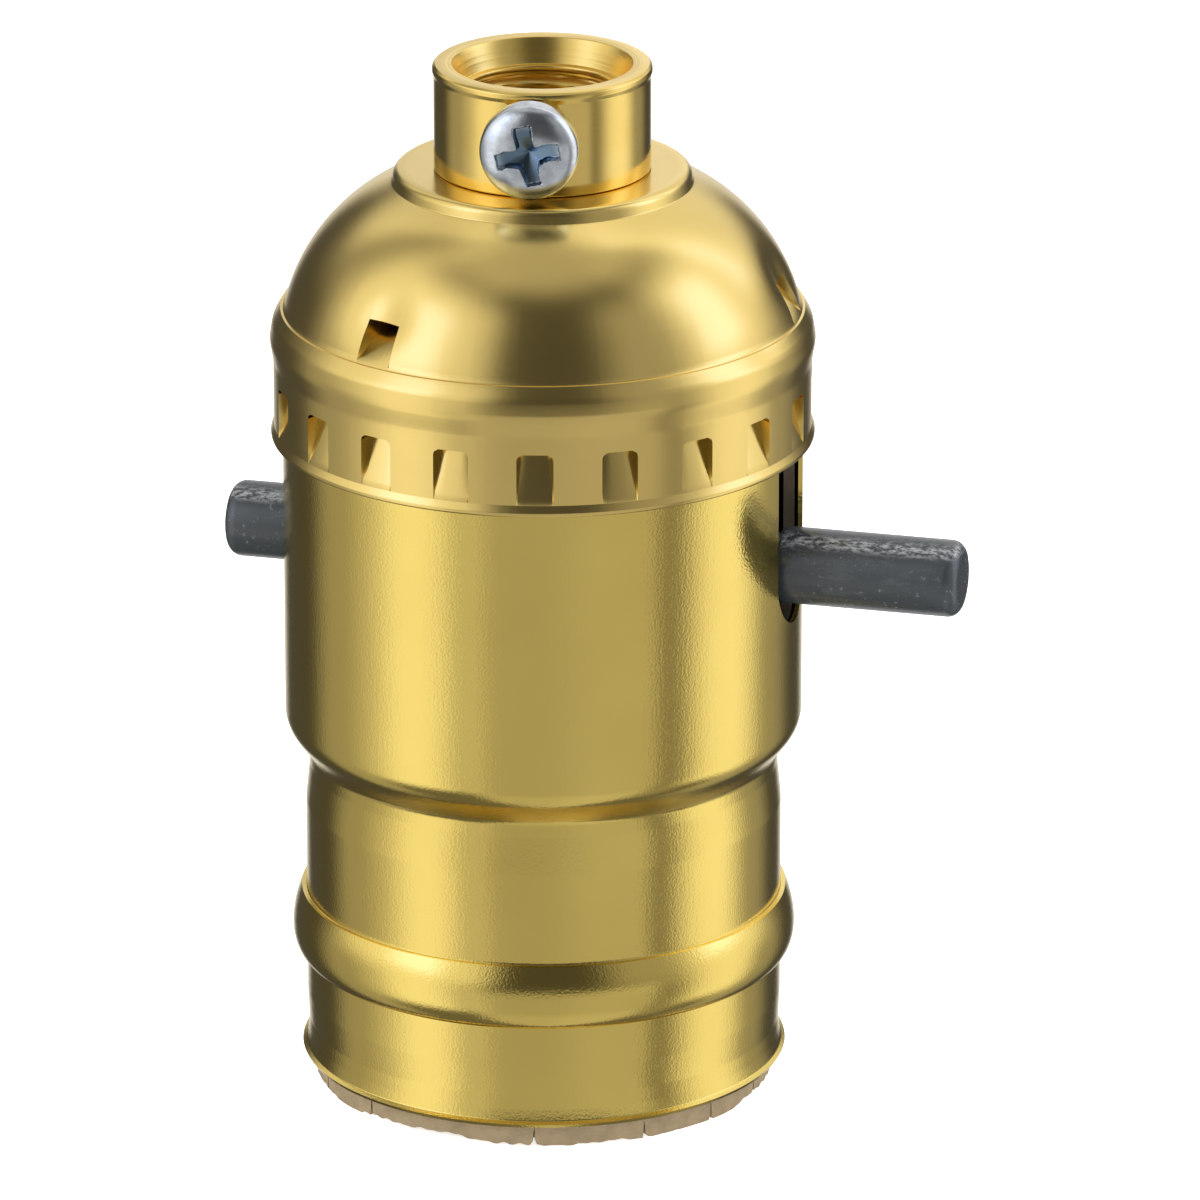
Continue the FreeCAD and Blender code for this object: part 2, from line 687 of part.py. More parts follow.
def make_switch_body():
    """Phenolic housing: bar bore, contact room, spring room, strap groove and screw holes."""
    body = new_body("switch_body")
    post(body, "form", "0", "0", BODY_RADIUS, BODY_FLOOR, BODY_HEIGHT)
    bore = new_sketch(body, "bore_circle", "YZ_Plane")
    draw_circle(bore, "0", BAR_AXIS, BAR_BORE)
    extrude(body, "Pocket", "bore", bore, f"4 * {CAP_RADIUS}")
    side = f"({LEAF_OUTER} + wipe_gap)"
    room = rectangle(ROOM_LEFT, ROOM_RIGHT, f"0 - {side}", side)
    well(body, "contact_room", room, ROOM_FLOOR, BODY_HEIGHT)
    spring_left = "(click_place - spring_length / 2 - room_gap)"
    spring_right = "(click_place + spring_length / 2 + room_gap)"
    spring_side = "(spring_width / 2 + room_gap)"
    spring_room = rectangle(spring_left, spring_right, f"0 - {spring_side}", spring_side)
    well(body, "spring_room", spring_room, BAR_AXIS, BODY_HEIGHT)
    strap_groove(body, BODY_FLOOR, BODY_HEIGHT)
    foot = rectangle("0 - strap_width / 2 - wipe_gap", "strap_width / 2 + wipe_gap",
                     f"{RIVET_PLACE} - rivet_head_radius - wipe_gap", STRAP_PLACE)
    well(body, "strap_foot_seat", foot, BODY_FLOOR, "strip_thickness + wipe_gap")
    through_floor = f"{ROOM_FLOOR} - {BODY_FLOOR} + room_depth"
    drill(body, "centre_rivet_hole", "0", "0", RIVET_HOLE, BODY_FLOOR, through_floor)
    for name, place in (("front_rivet_hole", f"0 - {RIVET_PLACE}"), ("back_rivet_hole", RIVET_PLACE)):
        drill(body, name, "0", place, RIVET_HOLE, BODY_FLOOR, "rivet_grip + fit_gap")
    depth = "(binding_grip + fit_gap)"
    for name, x, y in terminal_places():
        drill(body, name + "_hole", x, y, BINDING_HOLE, f"{BODY_TOP} - {depth}", depth)


def terminal_places():
    """Name, X and Y of the two terminal screws."""
    return (("line_screw", "0 - bar_travel", f"0 - {TERMINAL_PLACE}"), ("neutral_screw", "0", TERMINAL_PLACE))


def strap_groove(body, floor, height):
    side = "(strap_width / 2 + wipe_gap)"
    points = rectangle(f"0 - {side}", side, f"{STRAP_PLACE} - strip_thickness / 2 - wipe_gap", CAP_RADIUS)
    well(body, "strap_groove", points, floor, height)


def make_switch_cover():
    """Phenolic cover with the slot of the feed contact and the terminal screw holes."""
    body = new_body("switch_cover")
    post(body, "form", "0", "0", BODY_RADIUS, BODY_TOP, "cover_thickness")
    slot = rectangle(f"{LEAF_LEFT} - wipe_gap", f"{LEAF_RIGHT} + wipe_gap",
                     f"0 - {LEAF_OUTER} - wipe_gap", f"0 - {LEAF_INNER} + wipe_gap")
    well(body, "leaf_slot", slot, BODY_TOP, "cover_thickness")
    strap_groove(body, BODY_TOP, "cover_thickness")
    for name, x, y in terminal_places():
        drill(body, name + "_hole", x, y, BINDING_HOLE, BODY_TOP, "cover_thickness")


def make_screw_shell():
    """Lamp thread shell at its minor radius, with a narrower plain crown and a flanged closed end."""
    body = new_body("screw_shell")
    outer = "(thread_radius + thread_wall)"
    crown = f"({outer} - crown_inset)"
    crown_foot = "(socket_depth - socket_crown)"
    form = revolve(body, "form", [
        ("0", "0"),
        (outer, "0"),
        (outer, crown_foot),
        (crown, f"{crown_foot} + crown_inset"),
        (crown, "socket_depth"),
        ("0", "socket_depth"),
    ])
    rounded = round_rings(body, "end_rounding", form, [(crown, "socket_depth")], "socket_round")
    hollow(body, "wall", rounded, ["0"], "thread_wall")
    drill(body, "contact_hole", "0", "0", "socket_hole", "socket_depth / 2", "socket_depth")
    for name, place in (("front_rivet_hole", f"0 - {RIVET_PLACE}"), ("back_rivet_hole", RIVET_PLACE)):
        drill(body, name, "0", place, RIVET_HOLE, "socket_depth / 2", "socket_depth")


def make_insulating_disc():
    body = new_body("insulating_disc")
    post(body, "form", "0", "0", DISC_RADIUS, "socket_depth", "disc_thickness")
    holes = (("centre_hole", "0"), ("front_hole", f"0 - {RIVET_PLACE}"), ("back_hole", RIVET_PLACE))
    for name, place in holes:
        drill(body, name, "0", place, RIVET_HOLE, "socket_depth", "disc_thickness")


def make_centre_contact():
    """Bent strip: riveted under the disc, folded back into a tongue that the lamp presses."""
    body = new_body("centre_contact")
    reach = "centre_reach"
    under = "(socket_depth - centre_plate)"
    outer_fold = "((centre_drop + centre_plate) / 2)"
    inner_fold = "((centre_drop - centre_plate) / 2)"
    tongue_top = f"({under} - centre_drop + centre_plate)"
    profile = new_sketch(body, "strip_profile", "XZ_Plane")
    draw_outline(profile, [
        (f"0 - {reach}", under),
        (reach, under, f"0 - {inner_fold} * {FOLD_EASE}"),
        (reach, tongue_top),
        (f"0 - {reach}", f"{tongue_top} - centre_plate"),
        (f"0 - {reach}", f"{tongue_top} - 2 * centre_plate"),
        (reach, f"{under} - centre_drop", f"{outer_fold} * {FOLD_EASE}"),
        (reach, "socket_depth"),
        (f"0 - {reach}", "socket_depth"),
    ])
    extrude(body, "Pad", "strip", profile, "centre_width")
    drill(body, "rivet_hole", "0", "0", RIVET_HOLE, under, "centre_plate")


def make_centre_rivet():
    """Rivet from the centre contact to the load contact."""
    body = new_body("centre_rivet")
    under = "(socket_depth - centre_plate)"
    head_floor = f"{under} - rivet_head_height"
    clamp = f"({ROOM_FLOOR} + strip_thickness)"
    post(body, "shank", "0", "0", "rivet_radius", under, f"{clamp} - {under}")
    post(body, "lower_head", "0", "0", "rivet_head_radius", head_floor, "rivet_head_height")
    post(body, "upper_head", "0", "0", "rivet_head_radius", clamp, "rivet_head_height")


def make_shell_rivets():
    """Two rivets through the flange and the disc into the housing."""
    under = "(socket_depth - thread_wall)"
    head_floor = f"{under} - rivet_head_height"
    for name, place in (("front_shell_rivet", f"0 - {RIVET_PLACE}"), ("back_shell_rivet", RIVET_PLACE)):
        body = new_body(name)
        length = "thread_wall + disc_thickness + rivet_grip"
        post(body, "shank", "0", place, "rivet_radius", under, length)
        post(body, "head", "0", place, "rivet_head_radius", head_floor, "rivet_head_height")


def make_load_contact():
    """Folded strip on the room's floor, with the leaf that the ring wipes on the back side."""
    body = new_body("load_contact")
    foot = rectangle(LEAF_LEFT, "rivet_head_radius", "0 - rivet_head_radius", LEAF_OUTER)
    plate(body, "foot", foot, ROOM_FLOOR, "strip_thickness")
    leaf = rectangle(LEAF_LEFT, LEAF_RIGHT, LEAF_INNER, LEAF_OUTER)
    plate(body, "leaf", leaf, ROOM_FLOOR, "room_depth + 2 * ring_radius")
    drill(body, "rivet_hole", "0", "0", RIVET_HOLE, ROOM_FLOOR, "strip_thickness")


def make_feed_contact():
    """Folded strip through the cover: the leaf hangs beside the ring on the front side."""
    body = new_body("feed_contact")
    leaf = rectangle(LEAF_LEFT, LEAF_RIGHT, f"0 - {LEAF_OUTER}", f"0 - {LEAF_INNER}")
    floor = f"({BAR_AXIS} - ring_radius)"
    plate(body, "leaf", leaf, floor, f"{COVER_TOP} + strip_thickness - {floor}")
    neck = rectangle(LEAF_LEFT, LEAF_RIGHT, f"0 - {TERMINAL_PLACE}", f"0 - {LEAF_INNER}")
    plate(body, "neck", neck, COVER_TOP, "strip_thickness")
    _, x, y = terminal_places()[0]
    screw_eye(body, x, y)


def screw_eye(body, x, y):
    """Round eye on the cover, for a binding screw."""
    post(body, "eye", x, y, "terminal_radius", COVER_TOP, "strip_thickness")
    drill(body, "screw_hole", x, y, BINDING_HOLE, COVER_TOP, "strip_thickness")


def make_neutral_strap():
    """Folded strip from the lamp thread shell up the housing's groove to the cover."""
    body = new_body("neutral_strap")
    half = "(strap_width / 2)"
    outer = f"({STRAP_PLACE} + strip_thickness / 2)"
    inner = f"({STRAP_PLACE} - strip_thickness / 2)"
    foot = rectangle(f"0 - {half}", half, f"{RIVET_PLACE} - rivet_head_radius", outer)
    plate(body, "foot", foot, BODY_FLOOR, "strip_thickness")
    upright = rectangle(f"0 - {half}", half, inner, outer)
    plate(body, "upright", upright, BODY_FLOOR, f"{COVER_TOP} + strip_thickness - {BODY_FLOOR}")
    neck = rectangle(f"0 - {half}", half, TERMINAL_PLACE, outer)
    plate(body, "neck", neck, COVER_TOP, "strip_thickness")
    _, x, y = terminal_places()[1]
    screw_eye(body, x, y)
    drill(body, "rivet_hole", "0", RIVET_PLACE, RIVET_HOLE, BODY_FLOOR, "strip_thickness")


def make_detent_spring():
    """Bent leaf under the cover, its nose just above the bar's click groove."""
    body = new_body("detent_spring")
    top = BODY_TOP
    left = "(click_place - spring_length / 2)"
    right = "(click_place + spring_length / 2)"
    nose = f"({BAR_AXIS} + bar_radius + wipe_gap)"
    profile = new_sketch(body, "leaf_profile", "XZ_Plane")
    draw_outline(profile, [
        (left, top),
        (left, f"{top} - spring_thickness"),
        (f"{left} + spring_foot", f"{top} - spring_thickness"),
        ("click_place", nose),
        (right, f"{nose} + spring_tail"),
        (right, f"{nose} + spring_tail + spring_thickness"),
        ("click_place", f"{nose} + spring_fold"),
        (f"{left} + spring_foot + spring_thickness", top),
    ])
    extrude(body, "Pad", "leaf", profile, "spring_width")


def make_terminals():
    """Clamping washers on the cover and the binding screws through them."""
    floor = f"({COVER_TOP} + strip_thickness)"
    seat = f"({floor} + terminal_thickness)"
    for side, (name, x, y) in zip(("line", "neutral"), terminal_places()):
        body = new_body(side + "_terminal")
        post(body, "washer", x, y, "terminal_radius", floor, "terminal_thickness")
        drill(body, "screw_hole", x, y, BINDING_HOLE, floor, "terminal_thickness")
        screw = new_body(side + "_terminal_screw")
        shank_floor = f"({BODY_TOP} - binding_grip)"
        post(screw, "shank", x, y, "binding_radius", shank_floor, f"{seat} - {shank_floor}")
        post(screw, "head", x, y, "binding_head_radius", seat, "binding_head_height")
        slot = rectangle(f"{x} - binding_head_radius", f"{x} + binding_head_radius",
                         f"{y} - binding_slot / 2", f"{y} + binding_slot / 2")
        well(screw, "slot", slot, f"{seat} + binding_head_height / 2", "binding_head_height")


make_shell()
make_shell_liner()
make_cap()
make_collar()
make_set_screw()
make_push_bar()
make_moving_contact()
make_switch_body()
make_switch_cover()
make_screw_shell()
make_insulating_disc()
make_centre_contact()
make_centre_rivet()
make_shell_rivets()
make_load_contact()
make_feed_contact()
make_neutral_strap()
make_detent_spring()
make_terminals()
doc.recompute()

for item in doc.Objects:
    if "Invalid" in item.State or "Error" in item.State:
        raise RuntimeError(f"{item.Label} failed to build")
for body in parts:
    if body.Shape.isNull() or not body.Shape.isValid():
        raise RuntimeError(f"{body.Label} has no valid shape")

os.makedirs("parts", exist_ok=True)
for body in parts:
    body.Shape.exportStep(f"parts/{body.Label}.step")
    box = body.Shape.BoundBox
    print(f"{body.Label}: {len(body.Shape.Solids)} solid, volume {body.Shape.Volume:.2f} mm3, "
          f"z {box.ZMin:.2f} to {box.ZMax:.2f}, x {box.XMin:.2f} to {box.XMax:.2f}")
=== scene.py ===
# %% [markdown]
# A push-through lamp holder, dressed for its portrait.
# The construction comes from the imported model, so every piece lies where the frame says, in metres.
# This notebook gives the visible pieces their final surfaces and finishes, then sets up a camera and
# a small studio.

# %% Load the frame
import json
import math
import bpy
import numpy as np
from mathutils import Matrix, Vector


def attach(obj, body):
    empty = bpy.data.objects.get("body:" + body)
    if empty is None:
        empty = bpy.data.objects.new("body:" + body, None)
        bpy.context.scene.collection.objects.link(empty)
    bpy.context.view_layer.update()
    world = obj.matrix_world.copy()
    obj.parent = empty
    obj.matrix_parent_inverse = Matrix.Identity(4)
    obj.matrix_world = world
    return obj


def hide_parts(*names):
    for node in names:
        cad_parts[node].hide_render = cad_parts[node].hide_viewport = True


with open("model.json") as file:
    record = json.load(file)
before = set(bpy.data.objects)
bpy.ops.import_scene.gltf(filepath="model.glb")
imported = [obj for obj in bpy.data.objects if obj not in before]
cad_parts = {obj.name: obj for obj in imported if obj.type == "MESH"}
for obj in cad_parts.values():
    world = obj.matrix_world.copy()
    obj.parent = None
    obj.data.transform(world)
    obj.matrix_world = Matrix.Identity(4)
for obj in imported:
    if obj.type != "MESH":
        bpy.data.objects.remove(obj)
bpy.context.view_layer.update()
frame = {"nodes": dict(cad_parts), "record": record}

# %% [markdown]
# Sizes are written in millimetres, as on a drawing, and turned to metres once, when a mesh is made.
# Heights are measured from the mouth of the lamp thread, which is the frame's origin.
# Only the sizes that several pieces share stand here. The others come with their piece.

# %% Shared sizes
MM = 0.001                    # a millimetre, in the frame's metres
SHELL_RADIUS = 15.22          # the shell below its shoulder, outside
NECK_RADIUS = 14.97           # just under the shoulder
UPPER_RADIUS = 16.5           # the shell above its shoulder
SHELL_WALL = 0.4              # the solid's sheet, which the liner clears
RIM = -1.8                    # the shell's lower edge
LINER_FOOT = -3.6             # where the liner stands on the table
CAP_EDGE = 39.4               # the cap's lower edge
CAP_RADIUS = 17.05
CAP_WALL = 0.45
CREASE = CAP_EDGE + 8.35      # where the cap's band ends and its dome begins
DOME_TOP = CREASE + 8.09
CAP_TOP = DOME_TOP + 1.06     # the flat seat of the collar
BAR_AXIS = 31.8               # height of the push bar
print("collar sits", round(CAP_TOP - LINER_FOOT, 2), "mm above the table")

# %% [markdown]
# Nearly every piece here is turned, spun or drawn, so its outline is the same all round an axis.
# The outline could be drawn by hand and spun. Here it is a short list of corners, each with the radius
# of its rounding, as a maker would dimension it, and all the arcs are worked out at once.

# %% Profiles
def rounded(corners, steps=6):
    """Corners (r, z, fillet): each inner one becomes an arc that touches its two sides.

    Where the sides meet at twice the angle h, the arc starts fillet / tan(h) from the corner, and its
    centre lies fillet / sin(h) from it on the line that halves the angle.
    """
    corners = np.array(corners, float)
    places = corners[:, :2]
    before = np.roll(places, 1, 0) - places
    after = np.roll(places, -1, 0) - places
    longest = 0.49 * np.minimum(np.linalg.norm(before, axis=1), np.linalg.norm(after, axis=1))
    before /= np.linalg.norm(before, axis=1)[:, None]
    after /= np.linalg.norm(after, axis=1)[:, None]
    half = np.arccos(np.clip((before * after).sum(1), -0.99999, 0.99999)) / 2
    reach = np.minimum(corners[:, 2] / np.tan(half), longest)
    reach[[0, -1]] = 0
    share = np.linspace(-1, 1, steps + 1)[None, :, None]
    turn = share * (math.pi / 2 - half)[:, None, None]
    middle = before + after
    middle /= np.maximum(np.linalg.norm(middle, axis=1), 1e-9)[:, None]
    across = (after - before) / np.maximum(np.linalg.norm(after - before, axis=1), 1e-9)[:, None]
    radius = (reach * np.tan(half))[:, None, None]
    centre = places[:, None] + middle[:, None] * radius / np.sin(half)[:, None, None]
    points = centre - radius * (middle[:, None] * np.cos(turn) - across[:, None] * np.sin(turn))
    points = np.where(reach[:, None, None] > 1e-9, points, places[:, None]).reshape(-1, 2)
    return points[np.linalg.norm(np.diff(points, axis=0, prepend=points[:1] - 1), axis=1) > 1e-6]


def spaced(points, step):
    """Cut each run into as few equal parts as keep its points no further apart than the step."""
    gaps = np.linalg.norm(np.diff(points, axis=0), axis=1)
    counts = np.maximum(1, np.ceil(gaps / step - 1e-6)).astype(int)
    starts = np.repeat(np.arange(len(gaps)), counts)
    share = (np.arange(counts.sum()) - np.repeat(np.cumsum(counts) - counts, counts)) / counts[starts]
    inner = points[starts] + (points[starts + 1] - points[starts]) * share[:, None]
    return np.vstack([inner, points[-1:]])

# %% Small helpers
def ease(x):
    """Smooth step from 0 to 1: three times the square less twice the cube."""
    x = np.clip(x, 0, 1)
    return x * x * (3 - 2 * x)


def wrapped(angle):
    """The same angle, brought between minus and plus half a turn."""
    return (angle + math.pi) % (2 * math.pi) - math.pi


def full_turn(columns):
    """Even angles round a whole turn, its end left out because it is the start."""
    return np.linspace(0, 2 * math.pi, columns, endpoint=False)


def half_turn(columns):
    """Even angles from one slot to the other, both ends included."""
    return np.linspace(0, math.pi, columns)


print("a square corner rounded by 2 starts at", rounded([(0, 0, 0), (9, 0, 2), (9, 9, 0)])[1].round(2))

# %% [markdown]
# A surface is a grid of points, and its faces are quads between neighbouring rows and columns.
# Columns run anticlockwise and rows run up the outside, so faces look outwards. A mask leaves faces out
# where the sheet is cut. Modifiers weld the seam and give sheet its wall, and are then applied,
# so that each piece is plain mesh.

# %% Grids to meshes
def around(profile, angle, axis="Z"):
    """Carry a profile (radius, height) round an axis: radius times cosine and sine, with its height."""
    radius = profile[None, :, 0] + 0 * angle[:, None]
    height = profile[None, :, 1] + 0 * angle[:, None]
    cosine, sine = radius * np.cos(angle)[:, None], radius * np.sin(angle)[:, None]
    order = {"Z": (cosine, sine, height), "X": (height, cosine, sine)}[axis]
    return np.stack(order, -1)


def surface(name, points, closed=False, keep=None):
    """An object from a grid of points (columns, rows, 3) in millimetres; keep masks its faces."""
    columns, rows = points.shape[:2]
    number = np.arange(columns * rows).reshape(columns, rows)
    if closed:
        number = np.vstack([number, number[:1]])
    quads = np.stack([number[:-1, :-1], number[1:, :-1], number[1:, 1:], number[:-1, 1:]], -1)
    quads = quads[keep] if keep is not None else quads.reshape(-1, 4)
    mesh = bpy.data.meshes.new(name)
    mesh.from_pydata((points.reshape(-1, 3) * MM).tolist(), [], quads.tolist())
    mesh.update()
    piece = bpy.data.objects.new(name, mesh)
    bpy.context.scene.collection.objects.link(piece)
    return piece

# %% Finishing a piece
def finished(piece, body, slot, replaced, wall=0, crisp=35):
    """Weld a piece, give it its wall and its slot's finish, mark edges sharper than crisp, hang it on its
    body and hide the solid it replaces.
    """
    weld = piece.modifiers.new("weld", "WELD")
    weld.merge_threshold = 0.002 * MM
    if wall:
        solidify = piece.modifiers.new("wall", "SOLIDIFY")
        solidify.thickness = wall * MM
        solidify.offset = -1
    graph = bpy.context.evaluated_depsgraph_get()
    mesh = bpy.data.meshes.new_from_object(piece.evaluated_get(graph))
    piece.modifiers.clear()
    piece.data = mesh
    mesh.polygons.foreach_set("use_smooth", np.ones(len(mesh.polygons), bool))
    mesh.set_sharp_from_angle(angle=math.radians(crisp))
    mesh.materials.clear()
    mesh.materials.append(FINISHES[slot])
    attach(piece, body)
    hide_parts(replaced)
    print(piece.name, len(mesh.polygons), "faces")

# %% [markdown]
# A finish is a node tree. Placing each Math node by hand would bury its formula, so arithmetic on
# sockets is written as Python: a Wire holds a socket, and each operator adds the node that does it.

# %% Shader arithmetic
class Wire:
    """A socket in a node tree, with arithmetic."""

    def __init__(self, tree, socket):
        self.tree = tree
        self.socket = socket

    def add(self, kind, settings=(), inputs=(), output=0):
        """Add a node of a type beside this one; see add_node."""
        return add_node(self.tree, kind, settings, inputs, output)

    def maths(self, operation, *values):
        return self.add("ShaderNodeMath", {"operation": operation}, enumerate(values))

    def __add__(self, other):
        return self.maths("ADD", self, other)

    __radd__ = __add__

    def __sub__(self, other):
        return self.maths("SUBTRACT", self, other)

    def __rsub__(self, other):
        return self.maths("SUBTRACT", other, self)

    def __mul__(self, other):
        return self.maths("MULTIPLY", self, other)

    __rmul__ = __mul__

    def between(self, low, high):
        """0 below low, 1 above high, smooth between."""
        inputs = {0: self, 1: low, 2: high}
        return self.add("ShaderNodeMapRange", {"interpolation_type": "SMOOTHSTEP"}, inputs)


def add_node(tree, kind, settings=(), inputs=(), output=0):
    """Add a node, apply its settings, link or fill its sockets, and return one output as a Wire."""
    node = tree.nodes.new(kind)
    for name, setting in dict(settings).items():
        setattr(node, name, setting)
    for name, value in dict(inputs).items():
        if isinstance(value, Wire):
            tree.links.new(value.socket, node.inputs[name])
        else:
            node.inputs[name].default_value = value
    return Wire(tree, node.outputs[output]) if node.outputs else None

# %% [markdown]
# Every finish starts from Object coordinates, so its pattern stays on the piece in any pose, and ends in
# one Principled surface. Between them stand a few kinds of pattern: noise, noise drawn out into lines,
# a blend of two colours, and a bump whose depth is given in millimetres.

# %% Patterns
def new_finish(name):
    """Start a material and return it with its object coordinates."""
    material = bpy.data.materials.new(name)
    material.use_nodes = True
    tree = material.node_tree
    tree.nodes.clear()
    return material, add_node(tree, "ShaderNodeTexCoord", output=3)


def principled(place, **sockets):
    """End a finish in one Principled surface; words in socket names are joined by an underscore."""
    inputs = {name.replace("_", " "): value for name, value in sockets.items()}
    shader = place.add("ShaderNodeBsdfPrincipled", (), inputs)
    place.add("ShaderNodeOutputMaterial", (), {0: shader})


def parts(place):
    """X, Y and Z of a vector."""
    return [place.add("ShaderNodeSeparateXYZ", (), {0: place}, output) for output in range(3)]


def from_axis(x, y):
    """Distance from the Z axis: the root of the sum of both squares."""
    square = x * x + y * y
    return square.maths("SQRT", square)

# %% Noise, blends and bumps
def noise(place, scale, detail=2.0, roughness=0.5, stretch=(1, 1, 1)):
    """Noise on object coordinates; the scale is cells per millimetre along each stretched axis."""
    size = [scale / MM * factor for factor in stretch]
    vector = place.add("ShaderNodeVectorMath", {"operation": "MULTIPLY"}, {0: place, 1: size})
    inputs = {"Vector": vector, "Scale": 1.0, "Detail": detail, "Roughness": roughness}
    return place.add("ShaderNodeTexNoise", (), inputs)


def line_noise(place, along, scale, drift=0.05):
    """Fine parallel lines: noise along one value, that changes slowly in the other directions."""
    vector = place.add("ShaderNodeVectorMath", {"operation": "SCALE"}, {0: place, "Scale": drift / MM})
    inputs = {"Vector": vector, "W": along * (scale / MM), "Scale": 1.0, "Detail": 1.0}
    return place.add("ShaderNodeTexNoise", {"noise_dimensions": "4D"}, inputs)


def mix(factor, low, high):
    """Blend two colours by a factor."""
    low, high = [(*colour, 1) if isinstance(colour, tuple) else colour for colour in (low, high)]
    return factor.add("ShaderNodeMix", {"data_type": "RGBA"}, {0: factor, 6: low, 7: high}, 2)


def bump(height, depth):
    """Bump from a height of 0 to 1 that stands for this many millimetres."""
    return height.add("ShaderNodeBump", (), {"Strength": 1.0, "Distance": depth * MM, "Height": height})

# %% [markdown]
# The cap is spun from sheet and anodised gold. Spinning leaves rings round the axis. They could be
# painted by height alone, but that would smear them over the flat boss, so they follow height minus
# radius, which rises all the way from lip to collar.

# %% Gold finish of the cap
def cap_gold():
    """Gold in slow clouds, with rings and a fine grain in its bump."""
    material, place = new_finish("cap_gold")
    x, y, z = parts(place)
    rings = line_noise(place, z - from_axis(x, y), scale=5.0)
    cloud = noise(place, scale=0.12, detail=3.0)
    grain = noise(place, scale=3.0, detail=2.0)
    colour = mix(cloud.between(0.3, 0.75), (0.92, 0.685, 0.225), (0.87, 0.64, 0.205))
    principled(place, Base_Color=colour, Metallic=1.0, Roughness=0.17 + rings * 0.03 + cloud * 0.05,
               Normal=bump(rings * 0.35 + grain * 0.65, depth=0.0022))
    return material

# %% [markdown]
# The shell is deep drawn. The stretched sheet shows a fine orange peel and faint upright draw lines
# under the same anodising. Both are noise: even cells for the peel, and cells drawn out 25 times along
# the height for the lines.

# %% Gold finish of the shell
def shell_gold():
    """Gold in slow clouds, with three parts of peel to one of draw lines in its bump."""
    material, place = new_finish("shell_gold")
    peel = noise(place, scale=6.8, detail=1.0)
    drawn = noise(place, scale=6.5, detail=1.5, stretch=(1, 1, 0.04))
    cloud = noise(place, scale=0.1, detail=3.0)
    colour = mix(cloud.between(0.3, 0.75), (0.92, 0.695, 0.187), (0.87, 0.65, 0.17))
    principled(place, Base_Color=colour, Metallic=1.0, Roughness=0.12 + cloud * 0.05,
               Normal=bump(peel * 0.75 + drawn * 0.25, depth=0.0135))
    return material

# %% [markdown]
# The collar is turned from brass bar and left bright: a warmer metal than the anodised sheet. The tool's
# rings are polished off outside and stay in the bore, so a mask by radius makes them deep only there.
# The contacts and the lamp thread are stamped brass, duller, with scratches across the strip.

# %% Brass
def turned_brass():
    """Bright brass; inside the bore's radius its rings are deeper and it is rougher."""
    material, place = new_finish("turned_brass_bright")
    x, y, z = parts(place)
    radius = from_axis(x, y)
    rings = line_noise(place, z - radius, scale=7.0)
    cloud = noise(place, scale=0.25, detail=3.0)
    inner = 1 - radius.between(5.7 * MM, 6.0 * MM)
    colour = mix(cloud.between(0.35, 0.7), (0.93, 0.68, 0.205), (0.88, 0.62, 0.165))
    principled(place, Base_Color=colour, Metallic=1.0, Roughness=0.13 + rings * 0.06 + inner * 0.14,
               Normal=bump(rings * (inner * 0.85 + 0.15), depth=0.02))
    return material


def stamped_brass():
    """Dull brass with scratches drawn out along Y."""
    material, place = new_finish("stamped_brass")
    cloud = noise(place, scale=0.5, detail=4.0)
    scratch = noise(place, scale=1.2, detail=3.0, roughness=0.6, stretch=(1, 0.15, 1))
    colour = mix(cloud.between(0.35, 0.7), (0.80, 0.58, 0.22), (0.62, 0.42, 0.15))
    principled(place, Base_Color=colour, Metallic=1.0, Roughness=0.26 + cloud * 0.15,
               Normal=bump(scratch, depth=0.004))
    return material

# %% [markdown]
# Zinc plating is a cool, slightly mottled metal. The driver's recess is painted darker and bluer,
# as painted shade. A mask in space would need the screw's place and tilt, so the screw's mesh carries
# an attribute that tells how deep each point lies, and the finish reads that.

# %% Zinc and steel
def zinc_plate():
    """Pale metal with painted shade: it darkens with the recess attribute."""
    material, place = new_finish("zinc_plate_bright")
    depth = place.add("ShaderNodeAttribute", {"attribute_name": "recess"}, output=2)
    mottle = noise(place, scale=1.6, detail=4.0, roughness=0.6)
    bright = mix(mottle.between(0.35, 0.7), (0.78, 0.82, 0.86), (0.62, 0.66, 0.71))
    # painted shade: the deeper a point lies in the recess, the nearer it turns to dark blue-grey
    colour = mix(depth.between(0.05, 0.6), bright, (0.17, 0.25, 0.33))
    principled(place, Base_Color=colour, Metallic=1.0, Roughness=0.15 + mottle * 0.12,
               Normal=bump(mottle, depth=0.008))
    return material


def spring_steel():
    """Grey metal with a rolled grain along X."""
    material, place = new_finish("spring_temper_steel")
    grain = noise(place, scale=3.0, detail=3.0, roughness=0.6, stretch=(0.1, 1, 1))
    colour = mix(grain.between(0.3, 0.7), (0.58, 0.58, 0.6), (0.48, 0.48, 0.5))
    principled(place, Base_Color=colour, Metallic=1.0, Roughness=0.3 + grain * 0.1,
               Normal=bump(grain, depth=0.003))
    return material
